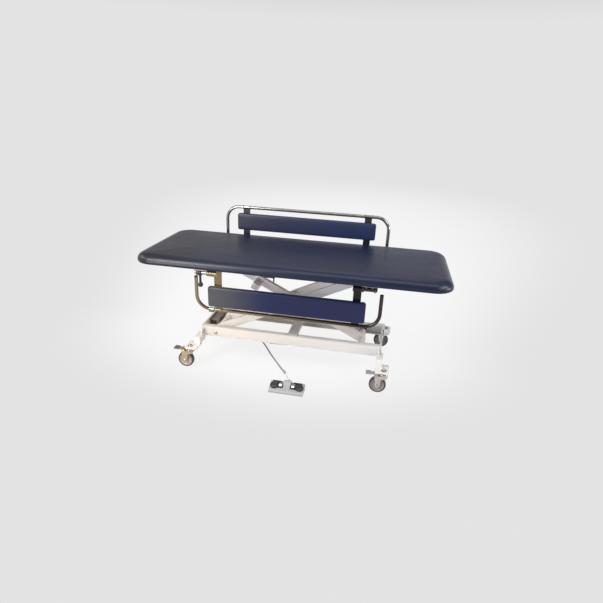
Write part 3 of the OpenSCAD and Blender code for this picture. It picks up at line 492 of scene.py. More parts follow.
def make_cushion():
    low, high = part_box("cushion")
    crown = 0.004  # rise of the middle over the rolled edge
    top = high.z - crown
    length, width, r = high.x - low.x, high.y - low.y, 0.112
    wide, tall = 0.062, top - low.z - 0.009  # the roll over the edge
    # the underside's lip up to the place where the roll starts
    stack = [(0.0114, low.z + 0.0153), (0.0114, low.z), (0.007, low.z), (0.0035, low.z + 0.0008),
             (0.0012, low.z + 0.0035), (0.0, low.z + 0.008)]
    for k in range(16):
        a = math.radians(6 * k)
        stack.append((wide * (1 - math.cos(a) ** 0.94), top - tall + tall * math.sin(a) ** 0.94))
    rings = 21  # from the roll to the middle
    for k in range(1, rings + 1):
        t = k / rings
        stack.append((wide + 0.28 * t, top + crown * (1 - (1 - t) ** 2.2)))
    verts, faces = stacked(length, width, r, stack, 18, (110, 40))
    count = len(verts) // len(stack)
    out = []
    for i, (x, y, z) in enumerate(verts):
        ring = i // count
        if z > top - crown:
            # slow waves and fine unevenness of the stretched cover
            wave = noise.noise(Vector((x * 3.1, y * 3.1, z * 3))) * 0.0009
            fine = noise.noise(Vector((x * 14, y * 14, 3.0))) * 0.00035
            z += wave + fine - 0.0006
        if 1 < ring < 14:
            # gathers where the cover is pulled round the corners to the underside
            cx, cy = abs(x) - (length / 2 - r), abs(y) - (width / 2 - r)
            if cx > 0 and cy > 0:
                turn = math.atan2(cy, cx)
                depth = 0.0011 * math.sin(2 * turn) * max(0.0, 1 - (z - low.z) / 0.026)
                pull = depth * (math.cos(turn * 26) - 1)
                x -= math.copysign(pull * math.cos(turn), x)
                y -= math.copysign(pull * math.sin(turn), y)
        out.append((x, y + SHIFT_Y, z))
    obj = make_object("cushion_cover", out, faces, VINYL, "top")
    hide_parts("cushion")


def make_pad(which):
    """A rail's pad; the rear one faces the table, the lowered front one faces away from it."""
    low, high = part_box(f"{which}_rail_pad")
    length, height, thick = high.x - low.x, high.z - low.z, high.y - low.y
    stack = [(0.004, 0.0), (0.0015, 0.001), (0.0003, 0.003), (0.0, 0.006), (-0.0003, thick * 0.4),
             (0.0, thick * 0.6), (0.0008, thick - 0.0075), (0.003, thick - 0.0042),
             (0.006, thick - 0.0022), (0.010, thick - 0.0012), (0.020, thick - 0.0004),
             (0.035, thick), (0.050, thick)]
    verts, faces = stacked(length, height, 0.014, stack, 8, (70, 8))
    middle = (low + high) / 2
    out = []
    for x, y, z in verts:
        sag = noise.noise(Vector((x * 6, y * 9, 1.0))) * 0.0006 if z > thick * 0.7 else 0.0
        out.append((middle.x + x, high.y - z + sag, middle.z + y))
    mat = VINYL_FRONT if which == "front" else VINYL_REAR
    obj = make_object(f"{which}_pad_cover", out, faces, mat, f"{which}_rail")
    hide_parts(f"{which}_rail_pad")


make_cushion()
for which in ("front", "rear"):
    make_pad(which)


# Wheels

def lathe(name, profile, at, mat, body):
    """Turned shape about a line along Y, from (radius, y) pairs; closed profile."""
    steps = 72
    verts, faces = [], []
    n = len(profile)
    for k in range(steps):
        a = 2 * math.pi * k / steps
        for radius, y in profile:
            verts.append((at[0] + radius * math.cos(a), at[1] + y, at[2] + radius * math.sin(a)))
    for k in range(steps):
        for i in range(n):
            a, b = k * n + i, k * n + (i + 1) % n
            c, d = ((k + 1) % steps) * n + (i + 1) % n, ((k + 1) % steps) * n + i
            faces.append((a, b, c, d))
    obj = make_object(name, verts, faces, mat, body)
    split_edges(obj, SMOOTH_DEGREES)
    return obj


def make_wheel(i):
    wheel = f"caster_wheel_{i}"
    low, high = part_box(wheel)
    at = (low + high) / 2
    radius = (high.z - low.z) / 2
    half = 0.015  # of the tread's width
    lathe(
        f"wheel_tread_{i}",
        [(0.0405, -half + 0.003), (0.043, -half + 0.0005), (0.047, -half + 0.001),
         (radius - 0.001, -half + 0.004), (radius, -half + 0.009), (radius, half - 0.009),
         (radius - 0.001, half - 0.004), (0.047, half - 0.001), (0.043, half - 0.0005),
         (0.0405, half - 0.003)],
        at, TREAD, wheel,
    )
    disc = lathe(
        f"wheel_disc_{i}",
        [(0.0052, -0.0182), (0.010, -0.0182), (0.0105, -0.0175), (0.0115, -0.009), (0.014, -0.0075),
         (0.030, -0.0075), (0.034, -0.010), (0.0365, -0.0135), (0.0395, -0.0135), (0.0405, -0.012),
         (0.0405, 0.012), (0.0395, 0.0135), (0.0365, 0.0135), (0.034, 0.010), (0.030, 0.0075),
         (0.014, 0.0075), (0.0115, 0.009), (0.0105, 0.0175), (0.010, 0.0182), (0.0052, 0.0182)],
        # the rear wheels take the dark copy: painted shade
        at, DISC if at.y < SHIFT_Y else DISC_REAR, wheel,
    )
    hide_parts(wheel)


for i in range(1, 5):
    make_wheel(i)


# Small hardware, gathered into a few pieces, each riding on a body

AXES = {"x": Vector((1, 0, 0)), "-x": Vector((-1, 0, 0)), "y": Vector((0, 1, 0)),
        "-y": Vector((0, -1, 0)), "z": Vector((0, 0, 1)), "-z": Vector((0, 0, -1))}
ARM, SLOPE = 1.020, math.radians(25.8)  # a lift arm's length between its pins, and its slope
RAIL_Y = 0.297  # the rails' hinge lines, from the table's middle line
HINGE_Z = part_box("hinge_brackets")[1].z - 0.027
LIFT_Z = HINGE_Z - ARM * math.sin(SLOPE)
FIXED_X = TOP_X - ARM / 2 * math.cos(SLOPE)
SLIDING_X = TOP_X + ARM / 2 * math.cos(SLOPE)
MIDDLE_Z = (HINGE_Z + LIFT_Z) / 2


def outward(side):
    """The axis that points away from the table's middle line."""
    return "y" if side > 0 else "-y"


class Kit:
    """Collects turned and boxed shapes that share a material and a body."""

    def __init__(self):
        self.verts, self.faces = [], []

    def turned(self, at, axis, profile, steps):
        """Closed turned shape from (radius, distance) pairs along an axis that starts at a point."""
        way = AXES[axis]
        u = Vector((0, 0, 1)) if abs(way.z) < 0.5 else Vector((1, 0, 0))
        v = way.cross(u)
        at = Vector(at)
        start = len(self.verts)
        n = len(profile)
        for k in range(steps):
            a = 2 * math.pi * (k + 0.5) / steps
            for radius, distance in profile:
                self.verts.append(at + way * distance + (u * math.cos(a) + v * math.sin(a)) * radius)
        for k in range(steps):
            for i in range(n - 1):
                a, b = start + k * n + i, start + k * n + i + 1
                c, d = start + ((k + 1) % steps) * n + i + 1, start + ((k + 1) % steps) * n + i
                self.faces.append((a, b, c, d))
        for i in (0, n - 1):
            if profile[i][0] > 0.0002:
                self.faces.append(tuple(start + k * n + i for k in range(steps)))

    def pan(self, at, axis, r, h):
        """Pan-head screw with a recess."""
        self.turned(at, axis, [(r, -0.0004), (r, h * 0.35), (r * 0.82, h * 0.8), (r * 0.5, h),
                               (r * 0.34, h), (r * 0.26, h * 0.45), (0.0, h * 0.45)], 20)

    def hexagon(self, at, axis, r, h):
        """Hexagon head on a washer."""
        self.turned(at, axis, [(r * 1.35, -0.0003), (r * 1.35, 0.0012), (r * 1.28, 0.0015)], 24)
        self.turned(at, axis, [(r * 0.97, 0.0012), (r, 0.002), (r, h - 0.0008), (r * 0.88, h)], 6)
        self.turned(at, axis, [(r * 0.8, h - 0.0002), (r * 0.72, h + 0.0004), (0.0, h + 0.0005)], 20)

    def bead(self, at, axis, r, size):
        """Weld bead or ring round a tube."""
        self.turned(at, axis, [(r - 0.0005, -size), (r + size * 0.45, -size * 0.7),
                               (r + size * 0.8, 0.0), (r + size * 0.45, size * 0.7),
                               (r - 0.0005, size)], 40)

    def box(self, at, size, edge):
        """Box with cut edges."""
        start = len(self.verts)
        hx, hy, hz = (v / 2 for v in size)
        e = min(edge, hx * 0.6, hy * 0.6, hz * 0.6)
        for x, y, z in ((hx - e, hy - e, -hz), (hx, hy, -hz + e), (hx, hy, hz - e),
                        (hx - e, hy - e, hz)):
            for px, py in ((x, y - e), (x - e, y), (-x + e, y), (-x, y - e),
                           (-x, -y + e), (-x + e, -y), (x - e, -y), (x, -y + e)):
                self.verts.append(Vector(at) + Vector((px, py, z)))
        for i in range(3):
            for j in range(8):
                a, b = start + i * 8 + j, start + i * 8 + (j + 1) % 8
                self.faces.append((a, b, b + 8, a + 8))
        self.faces.append(tuple(start + j for j in range(7, -1, -1)))
        self.faces.append(tuple(start + 24 + j for j in range(8)))

    def make(self, name, mat, body, slot):
        """Makes one piece of all that was collected."""
        split_edges(make_object(name, self.verts, self.faces, mat, body), 38)


def rail_place(which, x, y, z):
    """A point of a rail, drawn raised about its hinge line, as it stands at rest."""
    if which == "front":
        return (TOP_X + x, -RAIL_Y + SHIFT_Y - y, HINGE_Z - z)
    return (TOP_X - x, RAIL_Y + SHIFT_Y - y, HINGE_Z + z)


def rail_details(which):
    body = f"{which}_rail"
    chrome, steel = (CHROME, STRAP) if which == "front" else (CHROME_REAR, STRAP_REAR)
    low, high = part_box(f"{which}_rail_board")
    reach = (high.z - low.z) / 2 * 0.55  # of a pad's screws from the pad's middle
    strap_x, strap_back = 0.4165, 0.081
    tube_back, tube_z, pad_z = 0.077, 0.260, 0.166
    rod_end, collar_x = 0.526, 0.4465
    screws, beads = Kit(), Kit()
    for sx in (-1, 1):
        for dz in (-reach, reach):
            screws.pan(rail_place(which, sx * strap_x, -strap_back, pad_z + dz), "y", 0.0065, 0.0034)
        for edge in (-0.0235, 0.0235):
            beads.bead(rail_place(which, sx * strap_x + edge, -tube_back, tube_z), "x", 0.011, 0.0022)
        # end washer and set collar on the hinge rod
        at = rail_place(which, sx * rod_end, 0, 0)
        screws.turned(at, "x" if at[0] > TOP_X else "-x",
                      [(0.0125, -0.0006), (0.0125, 0.0006), (0.0112, 0.0018), (0.0, 0.0018)], 32)
        at = rail_place(which, sx * collar_x, 0, 0)
        screws.turned(at, "x", [(0.0122, -0.0045), (0.0162, -0.0045), (0.0168, -0.004),
                                (0.0168, 0.004), (0.0162, 0.0045), (0.0122, 0.0045)], 40)
    screws.make(f"{which}_rail_screws", chrome, body, "chrome_tube")
    beads.make(f"{which}_rail_welds", steel, body, "chrome_tube")


for which in ("front", "rear"):
    rail_details(which)


def top_details():
    end_x, inner_x, channel_y = 0.483, 0.160, 0.128  # the frame's cross plates and channels
    plate_z = HINGE_Z + 0.027
    bolts, welds = Kit(), Kit()
    for sx in (-1, 1):
        end = TOP_X + sx * end_x
        for sy in (-1, 1):
            y = sy * RAIL_Y + SHIFT_Y
            for dx in (-0.018, 0.018):
                for dy in (-0.027, 0.027):
                    bolts.hexagon((end + dx, y + dy, HINGE_Z + 0.022), "-z", 0.0055, 0.0042)
            for lug in (-0.032, 0.032):
                bolts.bead((end + lug, y, HINGE_Z), "x", 0.0145, 0.0040)
        for x, apart, places in ((end, 0.028, (-0.212, -0.075, 0.0, 0.075, 0.212)),
                                 (TOP_X + sx * inner_x, 0.018, (-0.18, 0.0, 0.18))):
            for dx in (-apart, apart):
                for y in places:
                    bolts.pan((x + dx, y + SHIFT_Y, plate_z), "-z", 0.005, 0.0026)
        for sy in (-1, 1):
            # weld runs where the cross plates lie on the channels
            for dx in (-0.0405, 0.0405):
                welds.box((end + dx, sy * channel_y + SHIFT_Y, HINGE_Z + 0.0285),
                          (0.004, 0.034, 0.004), 0.0014)
    bolts.make("top_bolts", ZINC, "top", "zinc_steel")
    welds.make("top_welds", WELD, "top", "powder_coat")


def dust_cover():
    """Sheet stapled under the board, 6 mm inside its edge, with the staples 8 mm further in."""
    low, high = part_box("deck_board")
    margin, row = 0.012, 0.016
    length, width = high.x - low.x - margin, high.y - low.y - margin
    ring = outline(length, width, 0.100, 0.0, 12, (40, 16))
    count = len(ring)
    verts, faces = [], []
    for thick in (-0.0006, -0.0001):
        verts += [(x, y + SHIFT_Y, low.z + thick) for x, y in ring]
    for j in range(count):
        faces.append((j, j + count, (j + 1) % count + count, (j + 1) % count))
    faces.append(tuple(range(count)))
    faces.append(tuple(count + j for j in range(count - 1, -1, -1)))
    cover = make_object("dust_cover", verts, faces, LINING, "top", smooth=False)
    staples = Kit()
    run = outline(length - row, width - row, 0.094, 0.0, 4, (26, 10))
    for i, (x, y) in enumerate(run):
        nx, ny = run[(i + 1) % len(run)]
        lengthwise = abs(nx - x) >= abs(ny - y)
        size = (0.010, 0.0011, 0.0011) if lengthwise else (0.0011, 0.010, 0.0011)
        staples.box((x, y + SHIFT_Y, low.z - 0.0009), size, 0.0003)
    staples.make("staples", ZINC, "top", "zinc_steel")


top_details()
dust_cover()


def lift_details():
    outer_y, inner_y, pin_y = 0.0765, 0.0165, 0.106  # the arms' tubes and the middle pin's ends
    tube = 0.850  # of the outer arms' cross tube, along the arm
    outer, inner, pins = Kit(), Kit(), Kit()
    for side in (-1, 1):
        y = side * outer_y + SHIFT_Y
        outer.bead((FIXED_X, y, LIFT_Z), "y", 0.020, 0.003)
        outer.bead((FIXED_X + tube * math.cos(SLOPE), y, LIFT_Z + tube * math.sin(SLOPE)), "y",
                   0.015, 0.003)
        y = side * inner_y + SHIFT_Y
        for at in ((FIXED_X, y, HINGE_Z), (TOP_X, y, MIDDLE_Z), (SLIDING_X, y, LIFT_Z)):
            inner.bead(at, "y", 0.020, 0.003)
        pins.turned((TOP_X, side * pin_y + SHIFT_Y, MIDDLE_Z), outward(side),
                    [(0.018, -0.0002), (0.0176, 0.0012), (0.014, 0.0026), (0.007, 0.0034),
                     (0.0, 0.0036)], 36)
    outer.make("outer_arm_welds", ARM_PAINT, "outer_arms", "powder_coat")
    inner.make("inner_arm_welds", ARM_PAINT, "inner_arm", "powder_coat")
    pins.make("middle_pin_caps", ZINC, "outer_arms", "zinc_steel")
    # end caps of the rollers' axles
    for which, y, z, body in (("upper", 0.138, HINGE_Z, "outer_arms"),
                              ("lower", 0.163, LIFT_Z, "inner_arm")):
        caps = Kit()
        for side in (-1, 1):
            caps.turned((SLIDING_X, side * y + SHIFT_Y, z), outward(side),
                        [(0.0125, -0.0002), (0.0125, 0.002), (0.010, 0.003), (0.0, 0.0032)], 32)
        caps.make(f"{which}_roller_caps", ZINC, body, "zinc_steel")


lift_details()


def base_details():
    bolts = Kit()
    stem_x, stem_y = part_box("caster_stems")[1].x - 0.020, 0.300
    plate_top, nut_top = 0.1428, 0.1508
    for sx in (-1, 1):
        for sy in (-1, 1):
            # washer on a caster's plate and the stem's tip in its nut
            x, y = sx * stem_x, sy * stem_y + SHIFT_Y
            bolts.turned((x, y, plate_top), "z", [(0.0165, 0.0), (0.0165, 0.0018), (0.0155, 0.0024),
                                                  (0.009, 0.0024)], 32)
            bolts.turned((x, y, nut_top), "z", [(0.0068, 0.0), (0.0068, 0.004), (0.0056, 0.0052),
                                                (0.0, 0.0054)], 24)
    for side in (-1, 1):
        # recessed face of the arms' lower pivot bolt, outside the rail
        bolts.turned((FIXED_X, side * 0.179 + SHIFT_Y, LIFT_Z), outward(side),
                     [(0.0088, -0.0005), (0.0088, 0.001), (0.0066, 0.0028), (0.0042, 0.0030),
                      (0.0036, 0.0016), (0.0, 0.0016)], 30)
    bolts.make("base_hardware", ZINC, "base", "zinc_steel")

    # welds of the outriggers on the rails' outer faces, and of the middle cross piece
    welds = Kit()
    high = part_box("base_outriggers")[1]
    rail_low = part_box("base_rails")[0].z
    rail_face, tube_high = 0.1725, 0.189
    cross_x, cross_y, cross_z = 0.015, 0.131, 0.213
    for sx in (-1, 1):
        for sy in (-1, 1):
            x, y = sx * (high.x - 0.060), sy * rail_face + SHIFT_Y
            welds.box((x, y + sy * 0.0006, tube_high), (0.038, 0.004, 0.004), 0.0014)
            for dx in (-0.019, 0.019):
                welds.box((x + dx, y + sy * 0.0006, (rail_low + tube_high) / 2),
                          (0.004, 0.004, tube_high - rail_low), 0.0014)
            for dx in (-0.0028, 0.0028):
                # along the gusset, up the rail and out over the tube
                welds.box((x - sx * 0.008 + dx, y + sy * 0.0003, (high.z + tube_high) / 2),
                          (0.003, 0.003, high.z - tube_high - 0.002), 0.001)
                welds.box((x - sx * 0.008 + dx, y + sy * 0.021, tube_high + 0.0003),
                          (0.003, 0.038, 0.003), 0.001)
    for dx in (-0.0285, 0.0285):
        for sy in (-1, 1):
            welds.box((cross_x + dx, sy * cross_y + SHIFT_Y, cross_z), (0.003, 0.004, 0.028), 0.0012)
    welds.make("base_welds", WELD, "base", "powder_coat")


def box_details():
    """Inlet, vents and screws of the control box, and ribs of the cord's gland."""
    low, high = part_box("control_box")
    x, y, z = (low.x + high.x) / 2, low.y, (low.z + high.z) / 2
    trim, metal = Kit(), Kit()
    for dx, dz, size in ((0, 0.0125, (0.034, 0.003, 0.004)), (0, -0.0125, (0.034, 0.003, 0.004)),
                         (0.0155, 0, (0.004, 0.003, 0.026)), (-0.0155, 0, (0.004, 0.003, 0.026))):
        trim.box((x + dx, y - 0.0005, z + dz), size, 0.0008)
    for dx, dz in ((-0.007, -0.002), (0.007, -0.002), (0.0, 0.003)):
        metal.box((x + dx, y + 0.007, z + dz), (0.0016, 0.009, 0.0045), 0.0004)
    for i in range(6):
        trim.box((high.x + 0.0002, y + 0.040 + i * 0.009, z + 0.004), (0.0016, 0.0035, 0.026), 0.0006)
    for dy in (0.010, 0.120):
        metal.pan((x, y + dy, high.z), "z", 0.0042, 0.0022)
    low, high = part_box("cord_gland")
    x, y = (low.x + high.x) / 2, (low.y + high.y) / 2
    for k in range(4):
        r = 0.0056 + 0.0006 * k
        trim.turned((x, y, low.z + 0.0035 + 0.0042 * k), "z",
                    [(r, -0.0012), (r + 0.0008, -0.0005), (r + 0.0008, 0.0005), (r, 0.0012)], 32)
    trim.make("control_box_trim", BLACK, "base", "black_plastic")
    metal.make("control_box_metal", ZINC, "base", "zinc_steel")


base_details()
box_details()


def caster_details(i):
    low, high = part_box(f"caster_fork_{i}")
    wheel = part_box(f"caster_wheel_{i}")
    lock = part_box(f"caster_lock_{i}")
    x, y = high.x - 0.024, (low.y + high.y) / 2  # the swivel's line
    axle_x, axle_z = (wheel[0].x + wheel[1].x) / 2, (wheel[0].z + wheel[1].z) / 2
    trim = Kit()
    # seal ring of the swivel bearing and the raised race under it
    trim.turned((x, y, high.z - 0.004), "z", [(0.0225, 0.0), (0.0246, 0.0002), (0.0250, 0.0022),
                                              (0.0238, 0.0042), (0.0212, 0.0046)], 48)
    trim.turned((x, y, high.z - 0.0125), "z", [(0.0240, 0.0), (0.0258, 0.0008), (0.0258, 0.0030),
                                               (0.0240, 0.0040)], 48)
    for side in (-1, 1):
        # nut and end of the axle
        nut = (axle_x, y + side * 0.0250, axle_z)
        trim.turned(nut, outward(side), [(0.0072, -0.0003), (0.0075, 0.0005), (0.0075, 0.0042),
                                         (0.0064, 0.0050)], 6)
        trim.turned(nut, outward(side), [(0.0042, 0.0046), (0.0042, 0.0064), (0.0034, 0.0072),
                                         (0.0, 0.0072)], 20)
        # pressed rib down the middle of each side plate
        trim.box((axle_x + 0.004, y + side * 0.0222, axle_z + 0.033), (0.010, 0.0016, 0.036), 0.0008)
    trim.make(f"caster_trim_{i}", ZINC, f"caster_fork_{i}", "zinc_steel")
    ribs = Kit()
    for k in range(5):
        ribs.box((lock[0].x + 0.004 + 0.0052 * k, y, lock[1].z + 0.0002 - 0.0011),
                 (0.0022, 0.034, 0.0022), 0.0008)
    ribs.make(f"caster_lock_ribs_{i}", LOCK, f"caster_lock_{i}", "lock_lever")


for i in range(1, 5):
    caster_details(i)


def foot_details():
    """Rings and tiles of the two pedals, ribs of the lead's boot and screws of the hump."""
    low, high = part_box("foot_housing")
    fx = (low.x + high.x) / 2
    # the pedals are drawn flat about their barrel and turned to the wedge's slope
    turn = Matrix.Rotation(math.atan2(20.0, 75.0), 4, "X")
    origin = Vector((fx, low.y + 0.0425 + 0.0275, 0.040))
    for side, name in ((-1, "left"), (1, "right")):
        rings, tile = Kit(), Kit()
        disc = Vector((side * 0.075, -0.034, 0.005))
        square = Vector((side * 0.037, -0.034, 0.005))
        rings.turned(disc, "z", [(0.0236, -0.0004), (0.0232, 0.0012), (0.0215, 0.0020), (0.0195, 0.0018),
                                 (0.0183, 0.0006), (0.0160, 0.0004), (0.0148, 0.0016), (0.0110, 0.0026),
                                 (0.0060, 0.0030), (0.0, 0.0031)], 56)
        for dx, dy, size in ((0, 0.0112, (0.026, 0.0036, 0.003)), (0, -0.0112, (0.026, 0.0036, 0.003)),
                             (0.0112, 0, (0.0036, 0.026, 0.003)), (-0.0112, 0, (0.0036, 0.026, 0.003))):
            rings.box(square + Vector((dx, dy, 0.0008)), size, 0.0007)
        tile.box(square + Vector((0, 0, 0.0008)), (0.0172, 0.0172, 0.0022), 0.0008)
        for kit in (rings, tile):
            kit.verts = [origin + turn @ v for v in kit.verts]
        rings.make(f"foot_pedal_{name}_rings", PEDAL, f"foot_pedal_{name}", "black_plastic")
        tile.make(f"foot_pedal_{name}_tile", TILE, f"foot_pedal_{name}", "grey_plastic")
    hump_y = low.y + 0.085  # the hump's back face
    ribs, screws = Kit(), Kit()
    for k in range(4):
        r = 0.0055 - 0.0005 * k
        ribs.turned((fx, hump_y + 0.004 + 0.0042 * k, 0.034), "y",
                    [(r, -0.0011), (r + 0.0008, -0.0005), (r + 0.0008, 0.0005), (r, 0.0011)], 28)
    ribs.make("foot_boot_ribs", GREY, "base", "grey_plastic")
    for dx in (-0.014, 0.014):
        screws.pan((fx + dx, hump_y - 0.013, high.z), "z", 0.0028, 0.0014)
    screws.make("foot_screws", ZINC, "base", "zinc_steel")


foot_details()


def actuator_details():
    """Bands of the housing and ribs of the motor, along the actuator's slightly tilted line."""
    low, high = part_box("actuator_housing")
    y, z = (low.y + high.y) / 2, 0.120
    motor_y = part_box("actuator_motor")[0].y + 0.021
    tilt = math.atan2(-0.010, 0.47526)
    trim = Kit()
    for x, r, w in ((-0.299, 0.0214, 0.006), (-0.150, 0.0206, 0.004), (-0.028, 0.0212, 0.005)):
        trim.turned((x, y, z + x * tilt), "x",
                    [(r - 0.002, -w), (r, -w + 0.001), (r, w - 0.001), (r - 0.002, w)], 48)
    for k in range(5):
        x = -0.042 - 0.024 * k
        trim.turned((x, motor_y, z + x * tilt), "x", [(0.0208, -0.0018), (0.0219, -0.0008),
                                                      (0.0219, 0.0008), (0.0208, 0.0018)], 40)
    trim.make("actuator_trim", DARK, "actuator_housing", "black_plastic")


actuator_details()


def junction_details():
    """Gland and screws of the small box under the top."""
    low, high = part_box("junction_box")
    x, y = (low.x + high.x) / 2, (low.y + high.y) / 2
    base = high.z - 0.050
    kit = Kit()
    kit.turned((x + 0.020, y, base), "-z", [(0.0082, -0.0004), (0.0082, 0.004), (0.0066, 0.0095),
                                            (0.0046, 0.013)], 32)
    for dx in (-0.024, 0.024):
        for dz in (0.010, 0.040):
            kit.pan((x + dx, low.y, base + dz), "-y", 0.003, 0.0016)
    kit.make("junction_trim", BLACK, "top", "black_plastic")


junction_details()


# Cords; their middle lines are in mm, across from the table's middle line

LEAD = [
    (-535, 80, 144.2), (-535, 81, 122), (-535, 84, 95), (-534, 90, 66), (-531, 100, 40),
    (-526, 114, 18),
    (-516, 130, 8), (-500, 146, 5), (-460, 168, 5), (-410, 186, 5), (-360, 192, 5),
    (-315, 186, 5), (-282, 168, 5), (-258, 143, 5), (-235, 113, 5), (-212, 78, 5),
    (-190, 42, 5), (-166, 2, 5), (-142, -38, 5), (-117, -76, 5), (-92, -113, 5),
    (-68, -149, 5), (-43, -186, 5), (-19, -221, 5),
]
THIN = [
    (-2, -246, 8), (5, -257, 6), (12, -268, 3.5), (19, -280, 3), (26, -291, 3), (32, -302, 3),
    (37, -313, 4), (42, -323, 8), (45, -332, 15), (47, -340, 23), (49, -348, 30), (50, -356, 33.5),
    (50, -364, 34),
]


def smooth_route(route):
    """Points of a smooth curve through a route, in metres in the frame."""
    pts = [Vector(p) for p in route]
    last = len(pts) - 1
    out = []
    for i in range(last):
        a, b, c, d = pts[max(i - 1, 0)], pts[i], pts[i + 1], pts[min(i + 2, last)]
        for t in (0, 0.25, 0.5, 0.75):
            out.append(
                0.5 * (2 * b + (c - a) * t + (2 * a - 5 * b + 4 * c - d) * t * t
                       + (3 * b - a - 3 * c + d) * t ** 3)
            )
    out.append(pts[last])
    return [p * MM + Vector((0, SHIFT_Y, 0)) for p in out]


def make_cord(name, route, radius, mat, node_name, slot, **facts):
    """Makes a cord that takes the place of a CAD node."""
    points = smooth_route(route)
    curve = bpy.data.curves.new(name, "CURVE")
    curve.dimensions = "3D"
    curve.bevel_depth = radius
    curve.bevel_resolution = 6
    curve.use_fill_caps = True
    spline = curve.splines.new("POLY")
    spline.points.add(len(points) - 1)
    for p, q in zip(spline.points, points):
        p.co = (*q, 1)
    curve.materials.append(mat)
    obj = bpy.data.objects.new(name, curve)
    scene.collection.objects.link(obj)
    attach(obj, "base")
    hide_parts(node_name)
make_cord(
    "foot_switch_lead", LEAD, 0.0045, CORD_DARK, "cord_lead", "cord_dark",
    far_end="connector", stiffness="medium", lay="loose",
    with_pieces=[nodes["cord_connector"], nodes["cord_gland"]],
)
make_cord(
    "foot_switch_thin_lead", THIN, 0.0022, CORD_LIGHT, "cord_thin", "cord_light",
    far_end="object", stiffness="medium", lay="loose",
)


# Floor, background and lamps

def maths(nt, kind, one, two):
    """The sum, product and so on of two values, each a number or a socket."""
    made = node(nt, "ShaderNodeMath", operation=kind)
    for socket, value in zip(made.inputs, (one, two)):
        if isinstance(value, (int, float)):
            socket.default_value = value
        else:
            nt.links.new(value, socket)
    return made.outputs["Value"]


def camera_glossy_transmission(nt):
    """1 for rays that see the background directly or in metal and glass."""
    ray = node(nt, "ShaderNodeLightPath").outputs
    direct = maths(nt, "MAXIMUM", ray["Is Camera Ray"], ray["Is Glossy Ray"])
    return maths(nt, "MAXIMUM", direct, ray["Is Transmission Ray"])


def make_floor():
    """A pale floor that also glows a little to the camera; both its colour and its glow darken away from
    the object, a painted pool of light.
    """
    half = 30
    mesh = bpy.data.meshes.new("floor")
    mesh.from_pydata([(-half, -half, 0), (half, -half, 0), (half, half, 0), (-half, half, 0)], [],
                     [(0, 1, 2, 3)])
    floor = bpy.data.objects.new("floor", mesh)
    scene.collection.objects.link(floor)
    mat = surface("floor", (0.78, 0.78, 0.78), 0.8, vary=0.008, vary_scale=0.7, rough_vary=0.04,
                  rough_scale=2.0, grain=[("noise", 200.0, 0.05, 0.0002)], specular=0.1)
    mesh.materials.append(mat)
    nt = mat.node_tree
    link = nt.links.new
    shader = nt.nodes["Principled BSDF"]
    old = shader.inputs["Base Color"].links[0].from_socket

    # how far a place is from the light pool's middle: it grows fast to the front, slowly behind
    split = node(nt, "ShaderNodeSeparateXYZ")
    link(node(nt, "ShaderNodeTexCoord").outputs["Object"], split.inputs["Vector"])
    behind = maths(nt, "SUBTRACT", split.outputs["Y"], 0.45)
    depth = maths(nt, "MAXIMUM", maths(nt, "MULTIPLY", behind, 0.22),
                  maths(nt, "MULTIPLY", behind, -1.50))
    widen = maths(nt, "MULTIPLY", maths(nt, "MAXIMUM", behind, 0.0), 0.30)
    across = maths(nt, "MULTIPLY", maths(nt, "ADD", split.outputs["X"], 0.14), 1.10)
    flat = node(nt, "ShaderNodeCombineXYZ")
    link(maths(nt, "DIVIDE", across, maths(nt, "ADD", widen, 1.0)), flat.inputs["X"])
    link(depth, flat.inputs["Y"])
    length = node(nt, "ShaderNodeVectorMath", operation="LENGTH")
    link(flat.outputs["Vector"], length.inputs[0])
    away = length.outputs["Value"]

    fade = node(nt, "ShaderNodeVectorMath", operation="SCALE")
    link(old, fade.inputs[0])
    link(ranged(nt, away, (1.0, 2.0), (1.0, 0.84), "SMOOTHSTEP"), fade.inputs["Scale"])
    link(fade.outputs["Vector"], shader.inputs["Base Color"])
    glow = node(nt, "ShaderNodeEmission", Strength=1.0)
    tone = node(nt, "ShaderNodeCombineColor")
    far = ranged(nt, away, (0.80, 1.95), (0.945, 0.77), "SMOOTHSTEP")
    for socket in tone.inputs:
        link(far, socket)
    link(tone.outputs["Color"], glow.inputs["Color"])
    share = ranged(nt, away, (0.7, 1.6), (0.87, 1.0), "SMOOTHSTEP")
    both = node(nt, "ShaderNodeMixShader")
    link(maths(nt, "MULTIPLY", share, camera_glossy_transmission(nt)), both.inputs[0])
    link(shader.outputs[0], both.inputs[1])
    link(glow.outputs[0], both.inputs[2])
    link(both.outputs[0], nt.nodes["Material Output"].inputs["Surface"])


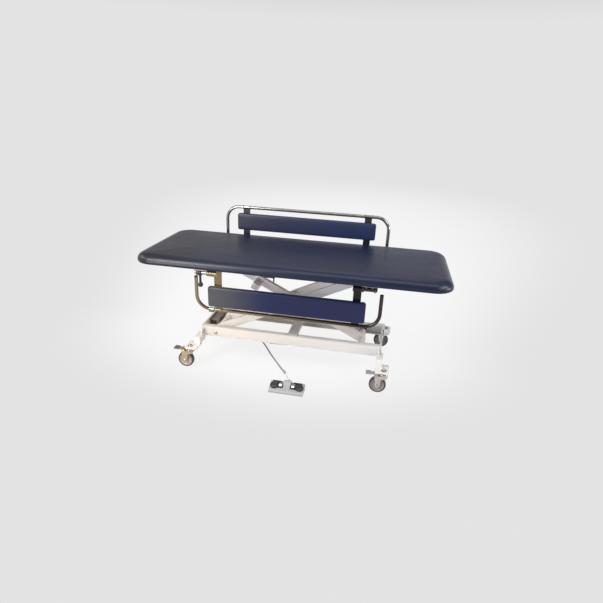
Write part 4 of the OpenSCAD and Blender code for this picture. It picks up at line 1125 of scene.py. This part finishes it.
def make_world():
    """An even light, and bands of tone by height where the background is seen or mirrored."""
    world = bpy.data.worlds.new("studio")
    scene.world = world
    world.use_nodes = True
    nt = world.node_tree
    link = nt.links.new
    light = nt.nodes["Background"]
    light.inputs["Color"].default_value = (0.80, 0.80, 0.81, 1)
    light.inputs["Strength"].default_value = 0.78
    show = node(nt, "ShaderNodeBackground", Strength=1.0)
    split = node(nt, "ShaderNodeSeparateXYZ")
    link(node(nt, "ShaderNodeTexCoord").outputs["Generated"], split.inputs["Vector"])
    ramp = node(nt, "ShaderNodeValToRGB")
    ramp.color_ramp.interpolation = "EASE"
    stops = ((0.14, 0.77), (0.33, 0.28), (0.60, 0.20), (0.90, 0.62))
    while len(ramp.color_ramp.elements) < len(stops):
        ramp.color_ramp.elements.new(0.5)
    for element, (place, value) in zip(ramp.color_ramp.elements, stops):
        element.position = place
        element.color = (value, value, value, 1)
    link(split.outputs["Z"], ramp.inputs["Fac"])
    link(ramp.outputs["Color"], show.inputs["Color"])
    mix = node(nt, "ShaderNodeMixShader")
    link(camera_glossy_transmission(nt), mix.inputs[0])
    link(light.outputs[0], mix.inputs[1])
    link(show.outputs[0], mix.inputs[2])
    link(mix.outputs[0], nt.nodes["World Output"].inputs["Surface"])


def lamp(name, at, target, size, power, color):
    data = bpy.data.lights.new(name, "AREA")
    data.shape = "RECTANGLE"
    data.size, data.size_y = size
    data.energy = power
    data.color = color
    obj = bpy.data.objects.new(name, data)
    obj.location = at
    obj.rotation_mode = "QUATERNION"
    obj.rotation_quaternion = (Vector(target) - Vector(at)).to_track_quat("-Z", "Y")
    scene.collection.objects.link(obj)


make_floor()
make_world()
lamp("key", (-1.65, -1.8, 2.45), (-0.2, 0, 0.6), (1.1, 1.3), 70, (1.0, 0.985, 0.96))
lamp("side", (-1.9, -2.8, 1.15), (-0.3, 0, 0.5), (0.9, 1.1), 38, (1.0, 0.975, 0.94))
lamp("left", (-2.9, -0.3, 2.0), (-0.3, 0, 0.4), (1.6, 0.8), 17, (1.0, 0.98, 0.95))
lamp("top", (0.2, -0.9, 4.0), (0, 0, 0.5), (3.0, 0.8), 28, (1, 1, 1))
lamp("fill", (2.6, -0.7, 2.25), (0.3, 0, 0.6), (1.8, 1.1), 39, (0.97, 0.985, 1.0))
lamp("edge", (3.3, -0.2, 0.95), (0.6, 0, 0.5), (0.55, 0.5), 18, (1.0, 0.985, 0.96))
lamp("back", (-0.5, 2.6, 3.2), (0, 0, 0.5), (3.5, 1.6), 12, (1, 1, 1))
